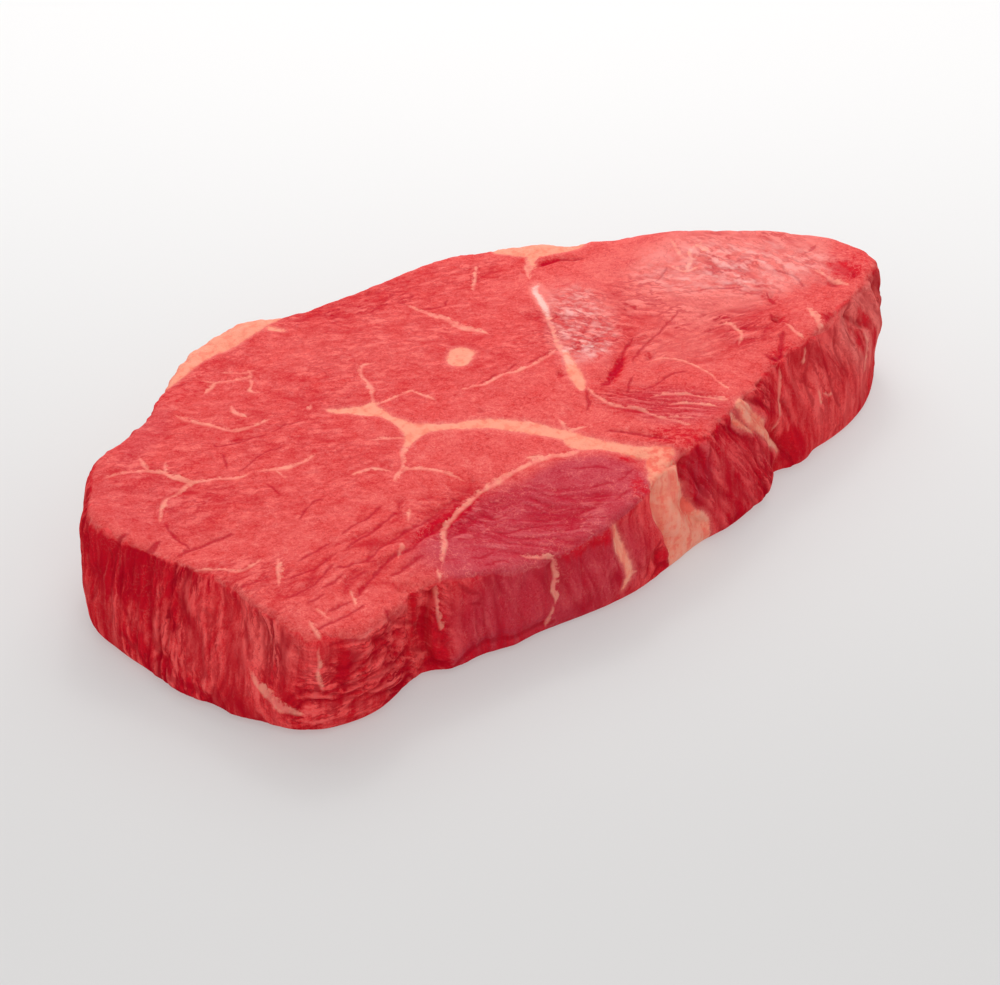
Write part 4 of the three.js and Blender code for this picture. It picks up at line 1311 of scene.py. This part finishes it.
def lean_tint(n, skin, colour):
    """Lean meat with its bundles and fibres, purple and pale zones, blood and pale specks; the cut face's
    colours, some pale zones, the ridges and the threads also hold painted light, the folds painted shade.
    """
    fibres = n.swing(skin.grain, n.blend(skin.upright, *FIBRE_CONTRAST))
    shade = n.join(
        "ADD",
        n.blend(skin.mottle, *MOTTLE_SHADES),
        n.times(fibres, n.step(skin.tone, *TINTED_FIBRES)),
        n.swing(skin.fine, FINE_CONTRAST),
        # streaks along the fibres: fibre tone, and painted light and shade, lighter on the wrinkles' ridges
        # and darker in their valleys
        n.times(skin.streak, n.blend(skin.upright, *STREAK_CONTRAST)),
        # the shade painted into the wrinkles' folds
        n.times(skin.fold, FOLD_SHADE),
    )
    shade = n.step(shade, *LEAN_SHADES)
    face_lean = n.mix(shade, colour["deep"], colour["lean"])
    side_lean = n.mix(shade, colour["deep_side"], colour["side"])
    # the cut face's colours hold a painted sheen that the side's don't
    base = n.mix(skin.upright, face_lean, side_lean)
    bright = n.times(shade, n.blend(skin.upright, *PURPLE_SHADES))
    purple = n.mix(bright, colour["dark_crimson"], colour["crimson"])
    base = n.mix(n.step(skin.tone, *PURPLE), base, purple)
    base = n.mix(n.step(skin.tone, *PALE), base, colour["pale"])
    # the wrinkles' ridges on the side kept free of blood: painted light
    ridge_light_on_side = n.times(skin.streak, skin.upright, LIT_RIDGE_STREAKS)
    soak = n.join("ADD", skin.blood, n.swing(skin.grain, SOAK_SWING), ridge_light_on_side)
    base = n.mix(n.step(soak, *SOAKED), base, colour["blood"])
    web = n.times(n.contour(skin.cloud, *WEB_LINE), n.step(skin.mottle, *WEBBED))
    # pale specks, a web of membrane and the threads, which also stand for painted light on the wrinkles'
    # ridges
    specks = n.join("MAXIMUM", n.step(skin.fine, *SPECKS), n.times(skin.thread, THREAD_AND_RIDGE_LIGHT_STRENGTH), web)
    return n.mix(n.times(specks, n.blend(skin.upright, *SPECK_STRENGTH)), base, colour["pale"])


def clefts_over(n, skin, colour, base):
    """Painted shade over the lean: the wrinkles' lines and folds, cracks, creases and pits."""
    painted_shade = n.join(
        "MAXIMUM",
        n.times(skin.line, PAINTED_LINE_SHADE),
        n.times(skin.fold, n.blend(skin.upright, *PAINTED_FOLD_SHADE)),
        n.times(n.contour(skin.swirl, *CRACK_LINE), n.step(skin.mottle, *CRACKS)),
        n.times(skin.cleft, n.blend(skin.upright, *PAINTED_CLEFT_SHADE)),
        # shade painted in the pits and at the feet of the steps
        n.times(skin.dark, PAINTED_PIT_SHADE),
    )
    tint = n.mix(skin.upright, colour["cleft"], colour["side_cleft"])
    return n.mix(n.times(n.math("MINIMUM", painted_shade, 1.0), DEEPEST_PAINTED_SHADE), base, tint)


def fat_tint(n, skin, colour):
    """Fat with patches of membrane, pale and red strands on the side, and blood in it."""
    tint = n.mix(skin.cloud, n.mix(skin.upright, colour["fat"], colour["side_fat"]), colour["pale_fat"])
    patches = n.step(skin.cloud, *MEMBRANE_EDGE, n.blend(skin.upright, *MEMBRANE_STRENGTH))
    tint = n.mix(patches, tint, colour["membrane"])
    tint = n.mix(n.times(n.step(skin.standing, *PALE_STRANDS), skin.upright), tint, colour["pale_fat"])
    tint = n.mix(n.times(n.step(skin.standing, *RED_STRANDS), skin.upright), tint, colour["membrane"])
    stain = n.math("ADD", skin.blood, n.swing(skin.swirl, STAIN_SWING))
    tint = n.mix(n.step(stain, *STAINED_FAT), tint, colour["membrane"])
    tint = n.mix(n.step(skin.tone, *PALEST_FAT), tint, colour["sheen_and_pale_fat"])
    return n.mix(n.times(skin.cleft, CLEFT_IN_FAT), tint, colour["membrane"])


def fat_over(n, skin, colour, base):
    """The veins and the seams of fat with their pale borders, over the rest."""
    fray = n.math("ADD", n.swing(skin.swirl, FRAY[0]), n.swing(skin.fine, FRAY[1]))
    depth = n.math("ADD", n.attribute("fat"), fray)
    base = n.mix(n.step(depth, *FAT_HALO), base, colour["pale"])
    vein_tint = n.mix(n.step(skin.swirl, *VEIN_TINTS), colour["vein"], colour["pale_fat"])
    faint = n.times(n.step(skin.mottle, *FAINT_VEINS), n.blend(skin.upright, *VEIN_STRENGTH))
    base = n.mix(n.times(skin.vein, faint), base, vein_tint)
    return n.mix(n.step(depth, *FAT_EDGE), base, fat_tint(n, skin, colour))


def fine_relief(n, skin):
    """The fibres as a normal, too fine for the mesh."""
    height = n.join(
        "ADD",
        n.times(skin.grain, GRAIN_RELIEF),
        n.times(skin.fine, FINE_RELIEF),
        n.times(skin.streak, n.math("MULTIPLY_ADD", skin.wet, *STREAK_RELIEF)),
        n.times(skin.line, LINE_RELIEF),
    )
    inputs = {"Strength": 0.9, "Distance": 0.3 * MM, "Height": height}
    return n.add("ShaderNodeBump", inputs).outputs["Normal"]


def meat_material(settings, counts):
    """Moist raw beef: lean with its bundles and fibres, marbling, seams of fat, shade painted into clefts and
    a painted sheen where it glistens.
    """
    material = bpy.data.materials.new("raw_beef")
    material.use_nodes = True
    tree = material.node_tree
    tree.nodes.clear()
    n = Nodes(tree)
    colour = {name: (*getattr(settings, f"{name}_colour"), 1.0) for name in COLOURS}
    skin = read_skin(n, counts)
    base = clefts_over(n, skin, colour, lean_tint(n, skin, colour))
    base = fat_over(n, skin, colour, base)
    gleam = n.times(skin.wet, n.step(skin.cloud, *GLEAM_PATCHES), n.step(skin.streak, *GLEAM_STREAKS))
    # a painted sheen: the colour goes pale where the meat glistens
    base = n.mix(n.times(gleam, PAINTED_GLEAM), base, colour["sheen_and_pale_fat"])
    shader = n.add(
        "ShaderNodeBsdfPrincipled",
        {
            "Base Color": base,
            "Roughness": n.blend(skin.swirl, *ROUGHNESS),
            "Normal": fine_relief(n, skin),
            "Subsurface Weight": 0.25,
            "Subsurface Radius": (1.0, 0.2, 0.15),
            "Subsurface Scale": 1.2 * MM,
            "Specular IOR Level": 0.0,
            "Coat Weight": n.times(gleam, GLEAM_COAT),
            "Coat Roughness": 0.2,
        },
    )
    out = n.add("ShaderNodeOutputMaterial")
    tree.links.new(shader.outputs["BSDF"], out.inputs["Surface"])
    return material


# ---------------------------------------------------------------- settings
class SteakSettings(bpy.types.PropertyGroup):
    skin_size: FloatProperty(
        name="Skin size",
        description="Width of the small faces that the skin is made of",
        default=0.72 * MM,
        subtype="DISTANCE",
        unit="LENGTH",
    )
    wrinkle_depth: FloatProperty(
        name="Wrinkle depth",
        description="How strong the fields of small wrinkles are",
        default=0.75,
        subtype="FACTOR",
    )
    crease_depth: FloatProperty(
        name="Crease depth",
        description="How strong the creases are",
        default=0.7,
        subtype="FACTOR",
    )


def colour_setting(label, what, value):
    """A colour that the panel shows."""
    return FloatVectorProperty(
        name=label,
        description=f"Colour of {what}",
        default=value,
        subtype="COLOR",
        min=0.0,
        max=1.0,
    )


SteakSettings.__annotations__.update(
    {f"{name}_colour": colour_setting(*row) for name, row in COLOURS.items()}
)


class StageSettings(bpy.types.PropertyGroup):
    floor_colour: FloatVectorProperty(
        name="Floor",
        description="Colour of the floor",
        default=(0.37, 0.362, 0.358),
        subtype="COLOR",
    )
    near_glow: FloatProperty(
        name="Near glow",
        description="Glow of the floor in front of the steak",
        default=0.30,
    )
    far_glow: FloatProperty(
        name="Far glow",
        description="Glow of the floor behind the steak",
        default=0.52,
    )
    back_light: FloatProperty(
        name="Back light",
        description="Power of the large light behind the steak",
        default=3.4,
        unit="POWER",
    )
    fill_light: FloatProperty(
        name="Fill light",
        description="Power of the large light in front of the steak",
        default=1.8,
        unit="POWER",
    )
    glint_light: FloatProperty(
        name="Glint light",
        description="Power of the small light behind the steak",
        default=0.9,
        unit="POWER",
    )
    sky: FloatProperty(
        name="Sky",
        description="Brightness of the surroundings",
        default=0.56,
    )


# ---------------------------------------------------------------- operators
class OBJECT_OT_build_raw_steak(bpy.types.Operator):
    """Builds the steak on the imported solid."""

    bl_idname = "object.build_raw_steak"
    bl_label = "Build steak"

    def execute(self, context):
        settings = context.scene.steak_settings
        steak = even_skin(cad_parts[NODE], settings.skin_size)
        counts = carve(steak, settings)
        steak.data.materials.clear()
        steak.data.materials.append(meat_material(settings, counts))
        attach(steak, "root")
        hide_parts(NODE)
        return {"FINISHED"}


CAMERA_TARGET = Vector((-1.03, -5.98, 0.0)) * MM
CAMERA_AZIMUTH = math.radians(-41)
CAMERA_ELEVATION = math.radians(35)
CAMERA_DISTANCE = 950 * MM
LENS = 135  # in millimetres, as the width of the sensor is
SENSOR = 36
FAR_CLIP = 20  # metres, as the floor's size is
FLOOR_SIZE = 6.0
NEAR_FLOOR = -180 * MM
FAR_FLOOR = 270 * MM
WHITE = (1.0, 1.0, 1.0, 1.0)

# The lights, in metres: how far behind the steak's middle, how high, how far behind it they aim and how
# large they are.
LIGHTS = {
    "back": (0.46, 0.62, 0.05, 0.7),
    "fill": (-0.6, 0.5, -0.05, 0.7),
    "glint": (0.5, 0.75, 0.05, 0.16),
}


class OBJECT_OT_build_steak_stage(bpy.types.Operator):
    """Sets up the pale floor, the soft light and the camera."""

    bl_idname = "object.build_steak_stage"
    bl_label = "Build stage"

    def execute(self, context):
        scene = context.scene
        settings = scene.steak_stage_settings
        away = Vector((-math.sin(CAMERA_AZIMUTH), math.cos(CAMERA_AZIMUTH), 0))
        lay_floor(scene, settings, away)
        for name, (behind, height, aim, size) in LIGHTS.items():
            place = away * behind + Vector((0, 0, height))
            aimed_light(scene, name, place, away * aim, size, getattr(settings, f"{name}_light"))
        world = bpy.data.worlds.new("studio")
        world.use_nodes = True
        world.node_tree.nodes["Background"].inputs["Color"].default_value = WHITE
        world.node_tree.nodes["Background"].inputs["Strength"].default_value = settings.sky
        scene.world = world
        scene.view_settings.view_transform = "Standard"
        place_camera(scene, away)
        return {"FINISHED"}


def lay_floor(scene, settings, away):
    """A large flat floor."""
    bm = bmesh.new()
    bmesh.ops.create_grid(bm, x_segments=1, y_segments=1, size=FLOOR_SIZE)
    mesh = bpy.data.meshes.new("floor")
    bm.to_mesh(mesh)
    bm.free()
    floor = bpy.data.objects.new("floor", mesh)
    scene.collection.objects.link(floor)
    mesh.materials.append(floor_material(settings, away))


def floor_material(settings, away):
    """A plain pale floor that glows a little, more so the further away it lies."""
    material = bpy.data.materials.new("pale_floor")
    material.use_nodes = True
    n = Nodes(material.node_tree)
    place = n.add("ShaderNodeTexCoord").outputs["Object"]
    depth = n.add("ShaderNodeVectorMath", {0: place, 1: away}, operation="DOT_PRODUCT").outputs["Value"]
    glow = n.step(depth, NEAR_FLOOR, FAR_FLOOR, settings.near_glow, settings.far_glow)
    shader = material.node_tree.nodes["Principled BSDF"]
    material.node_tree.links.new(glow, shader.inputs["Emission Color"])
    shader.inputs["Emission Strength"].default_value = 1.0
    shader.inputs["Base Color"].default_value = (*settings.floor_colour, 1.0)
    shader.inputs["Roughness"].default_value = 0.8
    shader.inputs["Specular IOR Level"].default_value = 0.1
    return material


def aimed_light(scene, name, place, target, size, power):
    """A square area light that looks at a point."""
    data = bpy.data.lights.new(name, "AREA")
    data.shape = "SQUARE"
    data.size = size
    data.energy = power
    light = bpy.data.objects.new(name, data)
    light.location = place
    light.rotation_euler = (target - place).to_track_quat("-Z", "Y").to_euler()
    light.visible_camera = False
    scene.collection.objects.link(light)


def place_camera(scene, away):
    """The camera, aimed at the steak from in front and above."""
    data = bpy.data.cameras.new("camera")
    data.lens = LENS
    data.sensor_width = SENSOR
    data.clip_end = FAR_CLIP
    camera = bpy.data.objects.new("camera", data)
    scene.collection.objects.link(camera)
    outward = Vector((0, 0, math.sin(CAMERA_ELEVATION))) - away * math.cos(CAMERA_ELEVATION)
    camera.location = CAMERA_TARGET + outward * CAMERA_DISTANCE
    camera.rotation_euler = (-outward).to_track_quat("-Z", "Y").to_euler()
    scene.camera = camera


class VIEW3D_PT_raw_steak(bpy.types.Panel):
    bl_label = "Raw beef steak"
    bl_space_type = "VIEW_3D"
    bl_region_type = "UI"
    bl_category = "Steak"

    def draw(self, context):
        layout = self.layout
        layout.operator(OBJECT_OT_build_raw_steak.bl_idname)
        for name in SteakSettings.__annotations__:
            layout.prop(context.scene.steak_settings, name)
        layout.operator(OBJECT_OT_build_steak_stage.bl_idname)
        for name in StageSettings.__annotations__:
            layout.prop(context.scene.steak_stage_settings, name)


CLASSES = (
    SteakSettings,
    StageSettings,
    OBJECT_OT_build_raw_steak,
    OBJECT_OT_build_steak_stage,
    VIEW3D_PT_raw_steak,
)


def register():
    for part in CLASSES:
        bpy.utils.register_class(part)
    bpy.types.Scene.steak_settings = PointerProperty(type=SteakSettings)
    bpy.types.Scene.steak_stage_settings = PointerProperty(type=StageSettings)


def unregister():
    del bpy.types.Scene.steak_stage_settings
    del bpy.types.Scene.steak_settings
    for part in reversed(CLASSES):
        bpy.utils.unregister_class(part)


def main():
    register()
    bpy.ops.object.build_steak_stage()
    bpy.ops.object.build_raw_steak()


if __name__ == "__main__":
    main()
